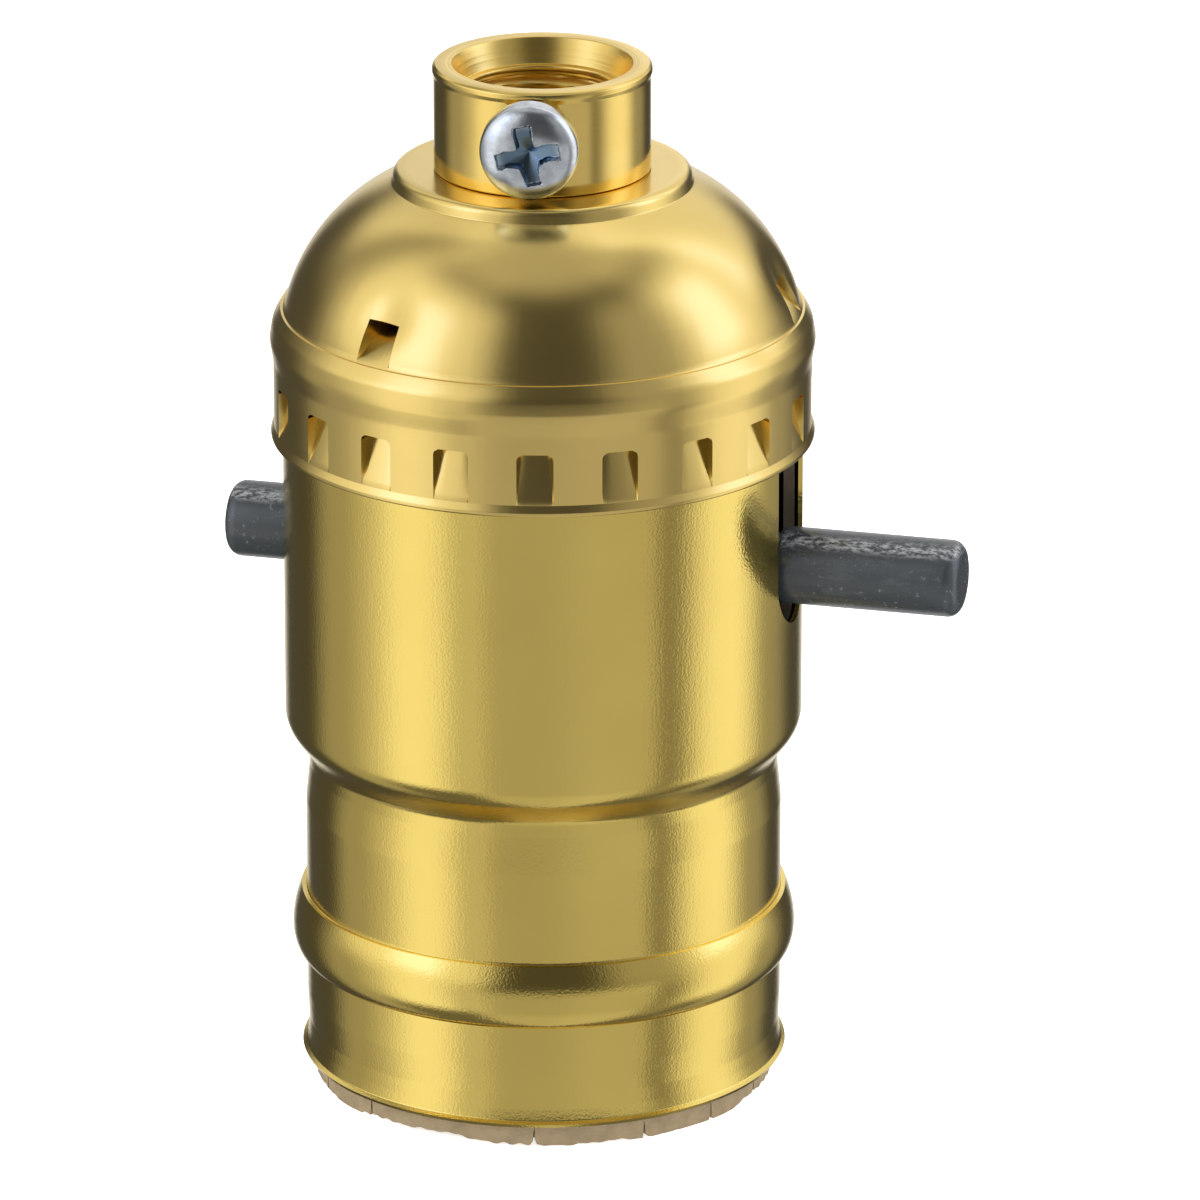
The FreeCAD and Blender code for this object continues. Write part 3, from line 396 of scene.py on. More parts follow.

# %% [markdown]
# The bar is a satin thermoplastic moulding, dark blue-grey. Handling has rubbed it pale in patches and
# specks. A pale strip along its upper side is a painted highlight, masked by height and broken up by
# noise. The housing behind the bar is phenolic, blacker and without scuffs.

# %% Mouldings
def bar_plastic():
    """Dark colour, then rub marks, specks and a painted highlight strip laid over it in that order."""
    material, place = new_finish("bar_plastic")
    z = parts(place)[2]
    grain = noise(place, scale=6.0)
    rub = noise(place, scale=0.7, detail=4.0, roughness=0.65, stretch=(0.35, 1, 1)).between(0.55, 0.8)
    specks = noise(place, scale=2.6, detail=3.0, roughness=0.7).between(0.62, 0.72)
    # painted highlight: a pale strip along the upper side, between these heights, broken up by noise
    rise = z.between((BAR_AXIS + 1.6) * MM, (BAR_AXIS + 2.05) * MM)
    fall = z.between((BAR_AXIS + 2.2) * MM, (BAR_AXIS + 2.42) * MM) * 0.85
    highlight_breakup = noise(place, scale=3.8, detail=3.0, roughness=0.7, stretch=(0.5, 1, 1)).between(0.4, 0.64)
    colour = mix(rub, (0.028, 0.0335, 0.0365), (0.054, 0.061, 0.064))
    colour = mix(specks * 0.6, colour, (0.17, 0.18, 0.185))
    colour = mix((rise - fall) * highlight_breakup * 0.75, colour, (0.36, 0.37, 0.375))
    principled(place, Base_Color=colour, Roughness=0.2 + grain * 0.1 + rub * 0.12, IOR=1.7,
               Normal=bump(grain * 0.5 + specks * 0.5, depth=0.014))
    return material


def phenolic():
    """Near black in slow clouds."""
    material, place = new_finish("phenolic_black")
    cloud = noise(place, scale=0.8, detail=4.0)
    colour = mix(cloud.between(0.3, 0.7), (0.012, 0.012, 0.013), (0.028, 0.026, 0.025))
    principled(place, Base_Color=colour, Roughness=0.25 + cloud * 0.15, Normal=bump(cloud, depth=0.01))
    return material

# %% [markdown]
# The liner is rolled fibre board, matt and mottled, with paler fibres laid round it. Its upper part,
# round the bar's slots, is painted near black as painted shade inside the shell.

# %% Fibre
def fibre_board():
    """Mottled board, pale fibres over it, and painted shade blended in above the lamp thread."""
    material, place = new_finish("fibre_board")
    z = parts(place)[2]
    mottle = noise(place, scale=0.9, detail=5.0, roughness=0.6)
    fibres = noise(place, scale=3.5, detail=3.0, roughness=0.6, stretch=(0.6, 0.6, 2.5))
    colour = mix(mottle.between(0.3, 0.75), (0.305, 0.231, 0.134), (0.23, 0.175, 0.1))
    colour = mix(fibres.between(0.55, 0.8) * 0.5, colour, (0.42, 0.335, 0.215))
    # painted shade: near black above 15 to 20 mm, inside the shell and seen only through the slots
    colour = mix(z.between(15 * MM, 20 * MM) * 0.75, colour, (0.05, 0.038, 0.03))
    principled(place, Base_Color=colour, Roughness=0.8 + mottle * 0.1,
               Normal=bump(fibres * 0.6 + mottle * 0.4, depth=0.03))
    return material

# %% [markdown]
# The record names a slot for every piece. This table gives each slot its finish, so that a new surface
# and the solid it stands for can't differ.

# %% Finishes by slot
FINISHES = {
    "anodised_cap": cap_gold(),
    "anodised_shell": shell_gold(),
    "turned_brass": turned_brass(),
    "contact_brass": stamped_brass(),
    "zinc_plate": zinc_plate(),
    "spring_steel": spring_steel(),
    "black_plastic": bar_plastic(),
    "phenolic": phenolic(),
    "fibre": fibre_board(),
}
print("finishes", sorted(FINISHES))

# %% [markdown]
# Shell and liner share one trouble: a U slot on each side, open at the top, for the bar.
# A boolean cut would leave ragged faces in a thin wall. Instead each tube is two half turns. Above the
# slot's foot the halves part, and the columns beside the slot are turned aside by its half width,
# so the edges follow the U exactly.

# %% Slotted tubes
SLOT_HALF = 3.2
SLOT_MIDDLE = BAR_AXIS - 3.7 + SLOT_HALF  # height of the centre of the slot's round foot


def slot_half_width(height):
    """Half the U's width: nothing below it, the root of a circle in its foot, then straight sides."""
    below = np.clip(SLOT_MIDDLE - height, 0, SLOT_HALF)
    return np.where(height < SLOT_MIDDLE - SLOT_HALF, 0, np.sqrt(SLOT_HALF ** 2 - below ** 2))


def slot_rows(profile):
    """Put rows at the slot's foot into the straight barrel, evenly spaced along its quarter circles."""
    rows = SLOT_MIDDLE - SLOT_HALF * np.cos(np.linspace(0, math.pi / 2, 13))
    below = profile[profile[:, 1] < rows[0] - 0.05]
    above = profile[profile[:, 1] > rows[-1] + 0.05]
    return np.vstack([below, np.stack([above[0, 0] + 0 * rows, rows], 1), above])


def slotted_tube(profile, base):
    """Two half turns of a profile at these angles: the points, and the mask of faces to keep.

    Beside a slot a column turns aside by the arcsine of half width over radius. The turn fades out
    over 40 degrees.
    """
    radius, height = profile[:, 0], profile[:, 1]
    aside = np.arcsin(slot_half_width(height) / radius)
    near = np.minimum(base, math.pi - base)
    fade = 1 - ease(near / math.radians(40))
    half = base[:, None] + np.sign(math.pi / 2 - base)[:, None] * fade[:, None] * aside[None, :]
    angle = np.vstack([half, half + math.pi])
    points = np.stack([radius * np.cos(angle), radius * np.sin(angle), height + 0 * angle], -1)
    keep = np.ones((len(angle) - 1, len(profile) - 1), bool)
    keep[len(base) - 1] = False
    return points, keep


print("slot foot at", round(SLOT_MIDDLE - SLOT_HALF, 2), "mm,", 2 * SLOT_HALF, "mm wide")

# %% [markdown]
# The shell: a flared rim, a rolled bead with a crisp upper edge, a slight neck, a rounded shoulder,
# the straight barrel and, under the cap, the groove that the cap's pockets bite into.
# The bead's section is neither an arc nor straight, so it gets a formula of its own between the corners.

# %% Shell
SHELL_EDGE = 0.28  # wall of the drawn sheet, as its cut edge shows it
BEAD_FOOT, BEAD_MIDDLE, BEAD_HEAD = 4.64, 6.3, 8.9
BEAD_RADIUS, BEAD_EDGE = 16.12, 15.54  # at its widest, and at its upper edge


def bead_wall(steps=10):
    """Up from its foot: a quarter ellipse out to the widest height, then a parabola in to its edge."""
    turn = np.linspace(0, math.pi / 2, steps)
    share = np.linspace(0, 1, steps)[1:]
    lower = np.stack([SHELL_RADIUS + (BEAD_RADIUS - SHELL_RADIUS) * np.sin(turn),
                      BEAD_MIDDLE - (BEAD_MIDDLE - BEAD_FOOT) * np.cos(turn), 0 * turn], 1)
    upper = np.stack([BEAD_RADIUS - (BEAD_RADIUS - BEAD_EDGE) * share ** 2,
                      BEAD_MIDDLE + (BEAD_HEAD - BEAD_MIDDLE) * share, 0 * share], 1)
    return np.vstack([lower, upper]).tolist()

# %% Shell profile
def shell_profile():
    """The corners from the rim up, with the bead's own curve among them."""
    rim = [
        (SHELL_RADIUS + 0.34, RIM, 0),
        (SHELL_RADIUS + 0.07, RIM + 0.16, 0.1),   # the flare's turn
        (SHELL_RADIUS - 0.03, RIM + 0.9, 0.5),
        (SHELL_RADIUS - 0.09, RIM + 1.8, 1.2),    # a shallow groove above it
        (SHELL_RADIUS, RIM + 3.7, 3),
    ]
    barrel = [
        (SHELL_RADIUS + 0.03, BEAD_HEAD, 0.02),
        (SHELL_RADIUS, BEAD_HEAD + 0.15, 0.05),
        (SHELL_RADIUS, 14.9, 2.5),
        (NECK_RADIUS, 17.4, 1.2),
        (NECK_RADIUS + 0.01, 18.35, 0.7),
        (UPPER_RADIUS, 20.35, 2.1),               # the shoulder
        (UPPER_RADIUS, CAP_EDGE, 0.3),
        (UPPER_RADIUS - 1.0, CAP_EDGE + 0.6, 0.3),  # the snap groove
        (UPPER_RADIUS - 1.0, CAP_EDGE + 4.3, 0.3),
        (UPPER_RADIUS - 0.1, CAP_EDGE + 4.9, 0.3),
        (UPPER_RADIUS - 0.1, CREASE - 0.65, 0),
    ]
    return spaced(rounded(rim + bead_wall() + barrel), 0.8)


shell_rows = slot_rows(shell_profile())
print("shell profile", len(shell_rows), "rows")

# %% Shell surface
shell_points, shell_faces = slotted_tube(shell_rows, half_turn(105))
finished(surface("shell_drawn", shell_points, keep=shell_faces), "holder", "anodised_shell", "shell",
         wall=SHELL_EDGE)

# %% [markdown]
# The liner: a fibre tube inside the shell. Its lower edge was torn to length, so it waves and frays,
# and short splits run up from it. A split needs columns close on both sides, or it would show as
# a wide notch, so five columns are added at each. The lowest stretches stand on the table.

# %% Liner
LINER_WALL = 0.7
LINER_INSET = SHELL_WALL + 0.12  # the shell's sheet and a gap
SPLITS = np.radians([-168, -146, -123.7, -77.5, -49.4, -28.8, -8.7, 25, 60, 95, 130, 158])
SPLIT_HALF = 0.09  # half a split's width at the edge
SPLIT_RADIUS = SHELL_RADIUS - 0.5  # where that width is measured
TEAR_REACH, BUCKLE_REACH, BUCKLE = 2.4, 2.0, 0.05  # how far up the edge tells, and how much it bulges
SPLIT_DEPTH = np.random.default_rng(7).uniform(0.9, 2.0, len(SPLITS))


def torn_edge(angle):
    """Height of the edge above the table: sums of sines, slow for its waves and fast for its fraying,
    cut off at the table; a split adds its depth times the root of the nearness to its middle."""
    waves = 0.16 * np.sin(3 * angle + 0.6) + 0.10 * np.sin(7 * angle + 2.0) + 0.05 * np.sin(17 * angle)
    fray = 0.045 * np.sin(61 * angle + 3 * np.sin(9 * angle)) + 0.03 * np.sin(97 * angle + 1)
    rise = np.clip(waves + fray + 0.12, 0, None)
    gap = np.abs(wrapped(angle[..., None] - SPLITS)) * SPLIT_RADIUS
    return rise + (SPLIT_DEPTH * np.clip(1 - gap / SPLIT_HALF, 0, 1) ** 0.5).max(-1)

# %% Liner profile
def liner_profile():
    """The shell's shape less the inset, with close rows in the torn foot."""
    lower = SHELL_RADIUS - LINER_INSET
    corners = [
        (lower, LINER_FOOT, 0),
        (lower, 14.7, 2.0),
        (NECK_RADIUS - LINER_INSET, 17.3, 1.0),
        (NECK_RADIUS + 0.01 - LINER_INSET, 18.6, 0.6),
        (UPPER_RADIUS - LINER_INSET, 20.6, 1.6),
        (UPPER_RADIUS - LINER_INSET, CAP_EDGE - 0.8, 0),
    ]
    foot = spaced(np.array([[lower, LINER_FOOT], [lower, LINER_FOOT + 3.0]]), 0.3)
    above = spaced(rounded(corners), 1.2)
    return np.vstack([foot, above[above[:, 1] > LINER_FOOT + 3.1]])

# %% Liner surface
beside = np.array([-SPLIT_HALF, -0.05, 0, 0.05, SPLIT_HALF]) / SHELL_RADIUS
at_splits = (SPLITS[:, None] + beside).ravel() % math.pi
liner_angles = np.sort(np.concatenate([half_turn(221), at_splits]))
liner_points, liner_faces = slotted_tube(slot_rows(liner_profile()), liner_angles)
angle = np.arctan2(liner_points[..., 1], liner_points[..., 0])
above_foot = liner_points[..., 2] - LINER_FOOT
liner_points[..., 2] += torn_edge(angle) * np.clip(1 - above_foot / TEAR_REACH, 0, 1)
buckle = BUCKLE * np.sin(13 * angle + 1) * np.clip(1 - above_foot / BUCKLE_REACH, 0, 1)
liner_points[..., :2] *= (1 + buckle / SHELL_RADIUS)[..., None]
finished(surface("liner_torn", liner_points, keep=liner_faces), "holder", "fibre", "shell_liner",
         wall=LINER_WALL)

# %% [markdown]
# The cap: spun sheet with a rolled lip. Twenty pockets are lanced into its band and three vents low on
# its dome. A lance shears one edge and pushes the panel in. Separate panels would have to be joined to
# the sheet, so the grid doubles the row at the sheared edge: the upper copy stays, the lower one sinks
# with the panel, and the faces between them are left out.

# %% Lances
VENT_RADIUS = 16.2  # the dome's radius about the vents
POCKET = {
    "centres": math.radians(-76.7) + np.arange(20) * math.radians(18), "radius": CAP_RADIUS,
    "half": 1.15, "foot": CAP_EDGE + 0.75, "head": CAP_EDGE + 4.05,
    "push": 0.95, "cheek": 0.06, "round": 0.4,
}
VENT = {
    "centres": np.radians([-115.5, 4.5, 124.5]), "radius": VENT_RADIUS,
    "half": 1.3, "foot": CREASE + 0.14, "head": CREASE + 2.55,
    "push": 1.7, "cheek": 0.06, "round": 0.01, "tilt": 0.4,
}


def lanced(angle, height, lance):
    """How far the sheet moves in and down at each point, and how far each lies from a lance's middle.

    In: the push times the share of the way from foot to head, over the full width less a thin cheek.
    Down: a quarter circle's fall at both upper corners, which fades out below and above the head.
    """
    offset = wrapped(angle[..., None] - lance["centres"])
    nearest = np.abs(offset).argmin(-1)[..., None]
    offset = np.take_along_axis(offset, nearest, -1)[..., 0] * lance["radius"]
    inside = np.clip((lance["half"] - np.abs(offset)) / lance["cheek"], 0, 1)
    share = (height - lance["foot"]) / (lance["head"] - lance["foot"])
    corner = np.clip((np.abs(offset) - lance["half"] + lance["round"]) / lance["round"], 0, 1)
    drop = lance["round"] * (1 - np.sqrt(1 - corner ** 2)) * (np.abs(offset) <= lance["half"] + 1e-6)
    fade = np.clip(np.where(share <= 1, share, 1 - (share - 1) * 3), 0, 1)
    sunk = inside * lance["push"] * np.where(share <= 1.0001, np.clip(share, 0, 1), 0)
    return sunk, drop * fade, offset


print("pockets", len(POCKET["centres"]), "and vents", len(VENT["centres"]))

# %% [markdown]
# The cap's profile lists the rows, and its columns are chosen so that one falls on each edge of each
# lance. Only a few more are needed between them, because the sheet is round and smooth there.

# %% Rows and columns of the cap
DOME_ARC, DOME_CENTRE, DOME_DROP = 12, 4.67, 2.75  # its radius, and its centre off the axis, below the crease
EDGE_ROW = 0.08  # height of the row that keeps the shading crisp
BOSS_RADIUS, CAP_HOLE = 9.36, 6.0


def dome_arc(low, high, step=0.5):
    """Points of the dome between two heights: a circle's arc about a centre off the axis."""
    heights = np.linspace(low, high, max(2, math.ceil((high - low) / step) + 1))
    reach = np.sqrt(DOME_ARC ** 2 - (heights - CREASE + DOME_DROP) ** 2)
    return np.stack([DOME_CENTRE + reach, heights], 1)


def cap_profile():
    """Rows from the tucked-in lip to the collar, and the numbers of the upper copies of both edges."""
    pocket_rows = np.linspace(POCKET["foot"], POCKET["head"], 9)
    vent_rows = dome_arc(VENT["foot"], VENT["head"], 0.3)
    lip = rounded([
        (CAP_RADIUS - 0.43, CAP_EDGE + 0.06, 0),
        (CAP_RADIUS + 0.19, CAP_EDGE, 0.2),
        (CAP_RADIUS + 0.19, CAP_EDGE + 0.3, 0.25),
        (CAP_RADIUS, CAP_EDGE + 0.74, 0.3),
        (CAP_RADIUS, POCKET["foot"], 0),
    ])
    band = np.stack([CAP_RADIUS + 0 * pocket_rows, pocket_rows], 1)
    shoulder = rounded([
        (CAP_RADIUS, POCKET["head"], 0),
        (CAP_RADIUS, POCKET["head"] + EDGE_ROW, 0),
        (CAP_RADIUS, POCKET["head"] + 1.0, 2.0),
        (CAP_RADIUS + 0.23, CREASE - 1.95, 1.6),
        (CAP_RADIUS + 0.03, CREASE - 0.8, 1.3),
        (CAP_RADIUS - 0.47, CREASE, 0.02),
        (CAP_RADIUS - 0.63, CREASE, 0.02),
        tuple(vent_rows[0]) + (0,),
    ])
    edge = dome_arc(VENT["head"], VENT["head"] + EDGE_ROW)
    dome = np.vstack([edge, dome_arc(VENT["head"] + EDGE_ROW, DOME_TOP)[1:]])
    boss = rounded([
        tuple(dome[-1]) + (0,),
        (BOSS_RADIUS + 0.14, DOME_TOP + 0.16, 0.1),
        (BOSS_RADIUS, CAP_TOP, 0.75),
        (7.4, CAP_TOP, 0.3),
        (CAP_HOLE, CAP_TOP, 0),
    ])
    rows = [lip[:-1], band, spaced(shoulder, 0.4)[:-1], vent_rows, dome, spaced(boss, 0.5)[1:]]
    return np.vstack(rows), sum(map(len, rows[:2])), sum(map(len, rows[:4]))

# %% Columns of the cap
def lance_columns(lance, inner, beside=()):
    """Angles at each lance: inner ones and both edges of its cheek, on either side, and those beside."""
    across = np.array([*inner, lance["half"] - lance["cheek"], lance["half"]])
    across = np.concatenate([-across[:0:-1], across, beside]) / lance["radius"]
    return (lance["centres"][:, None] + across).ravel()


def cap_columns():
    """Angles of all columns in order, each once: pockets, a few between them, and vents."""
    pockets = lance_columns(POCKET, [0, 0.4, 0.8], [1.55, 2.1, 2.68, 3.26, 3.8])
    vents = lance_columns(VENT, [0, 0.4, 0.8, 1.1])
    columns = np.sort(np.concatenate([pockets, vents]) % (2 * math.pi))
    return columns[np.diff(columns, prepend=columns[-1] - 2 * math.pi) > 1e-5]


cap_rows, pocket_edge, vent_edge = cap_profile()
columns = cap_columns()
print("cap grid", len(columns), "columns by", len(cap_rows), "rows")

# %% [markdown]
# Now the sheet is pushed in. A pocket's panel is flat across. A vent's sinks deeper on its left, and
# the dome dips softly round it, because a lance drags the curved sheet along.

# %% Cap
DISH = {"depth": 0.42, "across": 1.9, "up": 1.4, "above": 0.2}

cap_points = around(cap_rows, columns)
angle = columns[:, None] + 0 * cap_rows[None, :, 1]
height = cap_rows[None, :, 1] + 0 * angle
sunk, drop = lanced(angle, height, POCKET)[:2]
sunk_vent, drop_vent, offset = lanced(angle, height, VENT)
sunk_vent *= 1 - VENT["tilt"] * np.clip(offset / VENT["half"], -1, 1)
up = height - VENT["head"] - DISH["above"]
dish = DISH["depth"] * np.exp(-(offset / DISH["across"]) ** 2 - (up / DISH["up"]) ** 2)
upper_copy = np.isin(np.arange(len(cap_rows)), (pocket_edge, vent_edge))
move = np.where(upper_copy, 0, sunk + sunk_vent) + dish * (height > VENT["foot"])
cap_points[..., :2] *= (1 - move / np.maximum(cap_rows[None, :, 0], 1))[..., None]
cap_points[..., 2] -= drop + drop_vent
cap_faces = np.ones((len(columns), len(cap_rows) - 1), bool)
middles = (columns + np.append(columns[1:], columns[0] + 2 * math.pi)) / 2
for lance, row in ((POCKET, pocket_edge), (VENT, vent_edge)):
    aside = np.abs(wrapped(middles[:, None] - lance["centres"])).min(-1) * lance["radius"]
    cap_faces[aside < lance["half"], row - 1] = False
finished(surface("cap_spun", cap_points, closed=True, keep=cap_faces), "holder", "anodised_cap", "cap",
         wall=CAP_WALL)

# %% [markdown]
# The collar: one closed profile, turned. Down its bore runs a fine stem thread. A real thread is cut by
# a tool that climbs one pitch each turn, and so does the formula: the bore's rows move out by a ridge
# whose height along the bore depends on the angle.

# %% Collar
COLLAR_TOP = CAP_TOP + 6.8
COLLAR_FOOT = CAP_TOP - CAP_WALL - 1.0  # the staked end inside the cap
BORE_TOP = COLLAR_TOP - 1.75  # where the thread begins, under the lead-in
COLLAR_RADIUS, COLLAR_NECK = 6.85, CAP_HOLE - 0.1
STEM_RADIUS, STEM_PITCH, STEM_DEPTH = 4.65, 0.94, 0.45
STEM_LEAD = 0.6  # over which the thread grows to its depth
BORE_ROWS = 83


def collar_profile():
    """Round the section: staked foot, neck in the cap's hole, ring, lip, lead-in and bore."""
    outside = rounded([
        (STEM_RADIUS + STEM_DEPTH, COLLAR_FOOT, 0),
        (COLLAR_RADIUS - 0.05, COLLAR_FOOT, 0.1),
        (COLLAR_RADIUS - 0.05, COLLAR_FOOT + 1.0, 0.1),
        (COLLAR_NECK, COLLAR_FOOT + 1.05, 0.1),
        (COLLAR_NECK, CAP_TOP, 0.05),
        (COLLAR_RADIUS, CAP_TOP + 0.02, 0.15),
        (COLLAR_RADIUS, COLLAR_TOP - 0.72, 0.4),
        (COLLAR_RADIUS + 0.1, COLLAR_TOP - 0.42, 0.25),
        (COLLAR_RADIUS + 0.06, COLLAR_TOP - 0.14, 0.12),
        (COLLAR_RADIUS - 0.13, COLLAR_TOP, 0.1),
        (5.68, COLLAR_TOP, 0.1),
        (5.12, COLLAR_TOP - 1.6, 0.06),
        (STEM_RADIUS + 0.06, COLLAR_TOP - 1.62, 0.05),
        (STEM_RADIUS, BORE_TOP, 0),
    ], 4)
    bore = np.linspace(BORE_TOP, COLLAR_FOOT, BORE_ROWS + 1)[1:]
    return np.vstack([spaced(outside, 0.6), np.stack([STEM_RADIUS + 0 * bore, bore], 1)])

# %% Stem thread
def stem_ridge(height, angle):
    """0 at a groove and 1 on a ridge: a V along the bore, flattened, that climbs one pitch each turn."""
    climb = (height / STEM_PITCH - angle[:, None] / (2 * math.pi)) % 1
    return np.clip(np.abs(2 * climb - 1) * 1.3 - 0.1, 0, 1)


collar_rows = collar_profile()
angle = full_turn(144)
collar_points = around(collar_rows, angle)
height = collar_points[..., 2]
in_bore = (np.arange(len(collar_rows)) >= len(collar_rows) - BORE_ROWS)[None, :]
fade = ease((BORE_TOP - height) / STEM_LEAD)
move = in_bore * STEM_DEPTH * stem_ridge(height, angle) * fade / STEM_RADIUS
collar_points[..., :2] *= (1 + move)[..., None]
collar_points = np.concatenate([collar_points, collar_points[:, :1]], 1)
finished(surface("collar_turned", collar_points, closed=True), "holder", "turned_brass", "collar", crisp=30)

# %% [markdown]
# The set screw: a pan head with a cross recess. The recess could be cut with a boolean, but a punch
# presses it, and that is easy to say as a depth: the head is one turned surface, and each point sinks by
# a depth that falls off over the recess's steep walls and towards the ends of its arms.

# %% Set screw
SCREW = {"seat": 7.6, "edge": 1.0, "radius": 3.1, "face": 9.8, "shank": 1.75, "tip": 5.0}
SCREW_HEIGHT = CAP_TOP + 3.55
SCREW_BEARING = math.radians(-80.6)
SCREW_TURN = math.radians(12)  # how far the cross stands off upright
RECESS = {"arm": 0.54, "flare": 0.3, "flare_reach": 0.75, "uneven": 0.06, "high": 1.95, "wide": 2.05,
          "wall": 0.14, "deep": 1.3, "slope": 0.5, "shallow": 0.25}


def cross_depth(across, up):
    """Depth of the recess: inside either arm, the middle's depth less the slope times the distance.

    The arms flare where they meet, by a bell curve, and a slow sine makes them a little uneven.
    """
    distance = np.hypot(across, up)
    flare = RECESS["flare"] * np.exp(-(distance / RECESS["flare_reach"]) ** 2)
    half_width = RECESS["arm"] + flare + RECESS["uneven"] * np.sin(5 * across + 3 * up)
    upright = np.minimum(half_width - np.abs(across), RECESS["high"] - np.abs(up))
    level = np.minimum(half_width - np.abs(up), RECESS["wide"] - np.abs(across))
    floor = RECESS["deep"] - RECESS["slope"] * distance
    return ease(np.maximum(upright, level) / RECESS["wall"]) * np.clip(floor, RECESS["shallow"], None)

# %% Screw profile
def screw_profile():
    """Rows from the tip's centre, along the shank, and over the head's crown to the middle of its face.

    The crown rises by the root of 1 less a power of the radius, which is flatter than an ellipse.
    """
    crown = np.linspace(1, 0, 66) ** 0.8
    shoulder = SCREW["seat"] + SCREW["edge"]
    face = shoulder + (SCREW["face"] - shoulder) * np.sqrt(1 - crown ** 2.6)
    head = np.stack([SCREW["radius"] * crown, face], 1)
    shank = rounded([
        (0, SCREW["tip"], 0),
        (SCREW["shank"] - 0.4, SCREW["tip"], 0.05),
        (SCREW["shank"], SCREW["tip"] + 0.5, 0.05),
        (SCREW["shank"], SCREW["seat"], 0.1),
        (SCREW["radius"] - 0.1, SCREW["seat"], 0.12),
        (SCREW["radius"], SCREW["seat"] + 0.25, 0.15),
        tuple(head[0]) + (0,),
    ])
    return np.vstack([shank[:-1], head])

# %% Screw surface
screw_points = around(screw_profile(), full_turn(200))
x, y, out = np.moveaxis(screw_points, -1, 0)
across = x * math.cos(SCREW_TURN) + y * math.sin(SCREW_TURN)
up = y * math.cos(SCREW_TURN) - x * math.sin(SCREW_TURN)
depth = cross_depth(across, up) * (out > SCREW["seat"] + SCREW["edge"])
outward = np.array([math.cos(SCREW_BEARING), math.sin(SCREW_BEARING), 0])
sideways = np.array([-math.sin(SCREW_BEARING), math.cos(SCREW_BEARING), 0])
placed = x[..., None] * sideways + y[..., None] * np.array([0, 0, 1]) + (out - depth)[..., None] * outward
screw = surface("set_screw_pan", placed + np.array([0, 0, SCREW_HEIGHT]), closed=True)
recess = screw.data.attributes.new("recess", "FLOAT", "POINT")
recess.data.foreach_set("value", depth.ravel())
finished(screw, "holder", "zinc_plate", "set_screw", crisp=40)

# %% [markdown]
# The push bar: a moulded rod that runs through the housing, with a neck for its contact ring and
# two click grooves. Its ends are softly rounded. It is turned like the rest, about the X axis, and
# rides with the pusher.

# %% Push bar
BAR_RADIUS, BAR_LEFT, BAR_RIGHT, BAR_TRAVEL = 2.45, -20.6, 27.4, 6.8
BAR_NECK, BAR_NECK_HALF = 1.7, 1.8  # radius, and half its length
CLICK, CLICK_HALF, CLICK_DEPTH = 8.5, 0.6, 0.6  # the first groove; the other lies one travel on


def bar_profile():
    """Corners from the left end's centre to the right end's."""
    clicks = [corner for place in (CLICK, CLICK + BAR_TRAVEL)
              for corner in ((BAR_RADIUS, place - CLICK_HALF, 0.1),
                             (BAR_RADIUS - CLICK_DEPTH, place, 0.2),
                             (BAR_RADIUS, place + CLICK_HALF, 0.1))]
    corners = [
        (0, BAR_LEFT, 0),
        (BAR_RADIUS, BAR_LEFT, 0.85),
        (BAR_RADIUS, -BAR_NECK_HALF, 0.05),
        (BAR_NECK, -BAR_NECK_HALF, 0.05),
        (BAR_NECK, BAR_NECK_HALF, 0.05),
        (BAR_RADIUS, BAR_NECK_HALF, 0.05),
        *clicks,
        (BAR_RADIUS, BAR_RIGHT, 0.85),
        (0, BAR_RIGHT, 0),
    ]
    return spaced(rounded(corners, 8), 1.5)


bar_points = around(bar_profile(), full_turn(96), axis="X")
bar_points[..., 2] += BAR_AXIS
finished(surface("push_bar_moulded", bar_points, closed=True), "pusher", "black_plastic", "push_bar")

# %% [markdown]
# The lamp thread: brass sheet rolled to a round thread. A screw modifier could sweep a wave, but its
# ends would stay open, so the wave is added to a plain tube: a cosine of the height, which each turn of
# angle lifts by one pitch. It fades out at both ends. The closed end turns in to a flange, with a hole
# for the centre contact.

# %% Lamp thread shell
LAMP_PITCH, LAMP_MINOR, LAMP_DEPTH = 3.63, 12.95, 0.7
SOCKET_DEPTH, THREAD_END, CROWN_RADIUS = 19.3, 15.1, 12.55
CONTACT_HOLE = 6.5
FADE_LENGTH, THREAD_WALL = 1.5, 0.35

thread_rows = spaced(rounded([
    (LAMP_MINOR, 0, 0),
    (LAMP_MINOR, THREAD_END, 0.2),
    (CROWN_RADIUS, THREAD_END + 0.4, 0.2),
    (CROWN_RADIUS, SOCKET_DEPTH, 0.8),
    (CONTACT_HOLE, SOCKET_DEPTH, 0),
], 8), 0.3)
angle = full_turn(168)
thread_points = around(thread_rows, angle)
height = thread_points[..., 2]
wave = 0.5 + 0.5 * np.cos(2 * math.pi * (height / LAMP_PITCH) - angle[:, None])
wave *= ease(height / FADE_LENGTH) * ease((THREAD_END - height) / FADE_LENGTH)
thread_points[..., :2] *= (1 + LAMP_DEPTH * wave / LAMP_MINOR)[..., None]
finished(surface("lamp_thread_rolled", thread_points, closed=True), "holder", "contact_brass",
         "screw_shell", wall=THREAD_WALL)

# %% [markdown]
# The pieces inside stay as the solids say: their shapes are right, and only glimpses of them show.
# Each gets the finish of its slot.

# %% Inner pieces
slots = {entry["node"]: entry["material_slot"] for entry in frame["record"]["subparts"]}
for name, node in frame["nodes"].items():
    node.data.materials.clear()
    node.data.materials.append(FINISHES[slots[name]])
print("finished", len(slots), "nodes")

# %% [markdown]
# The camera stands as the photographer's did: about 0.7 m off, to the right of the front, looking down
# by 19 degrees. Its place is given by azimuth, elevation and distance from the object's axis, and it
# aims beside that axis, so that the frame needs no lens shift.

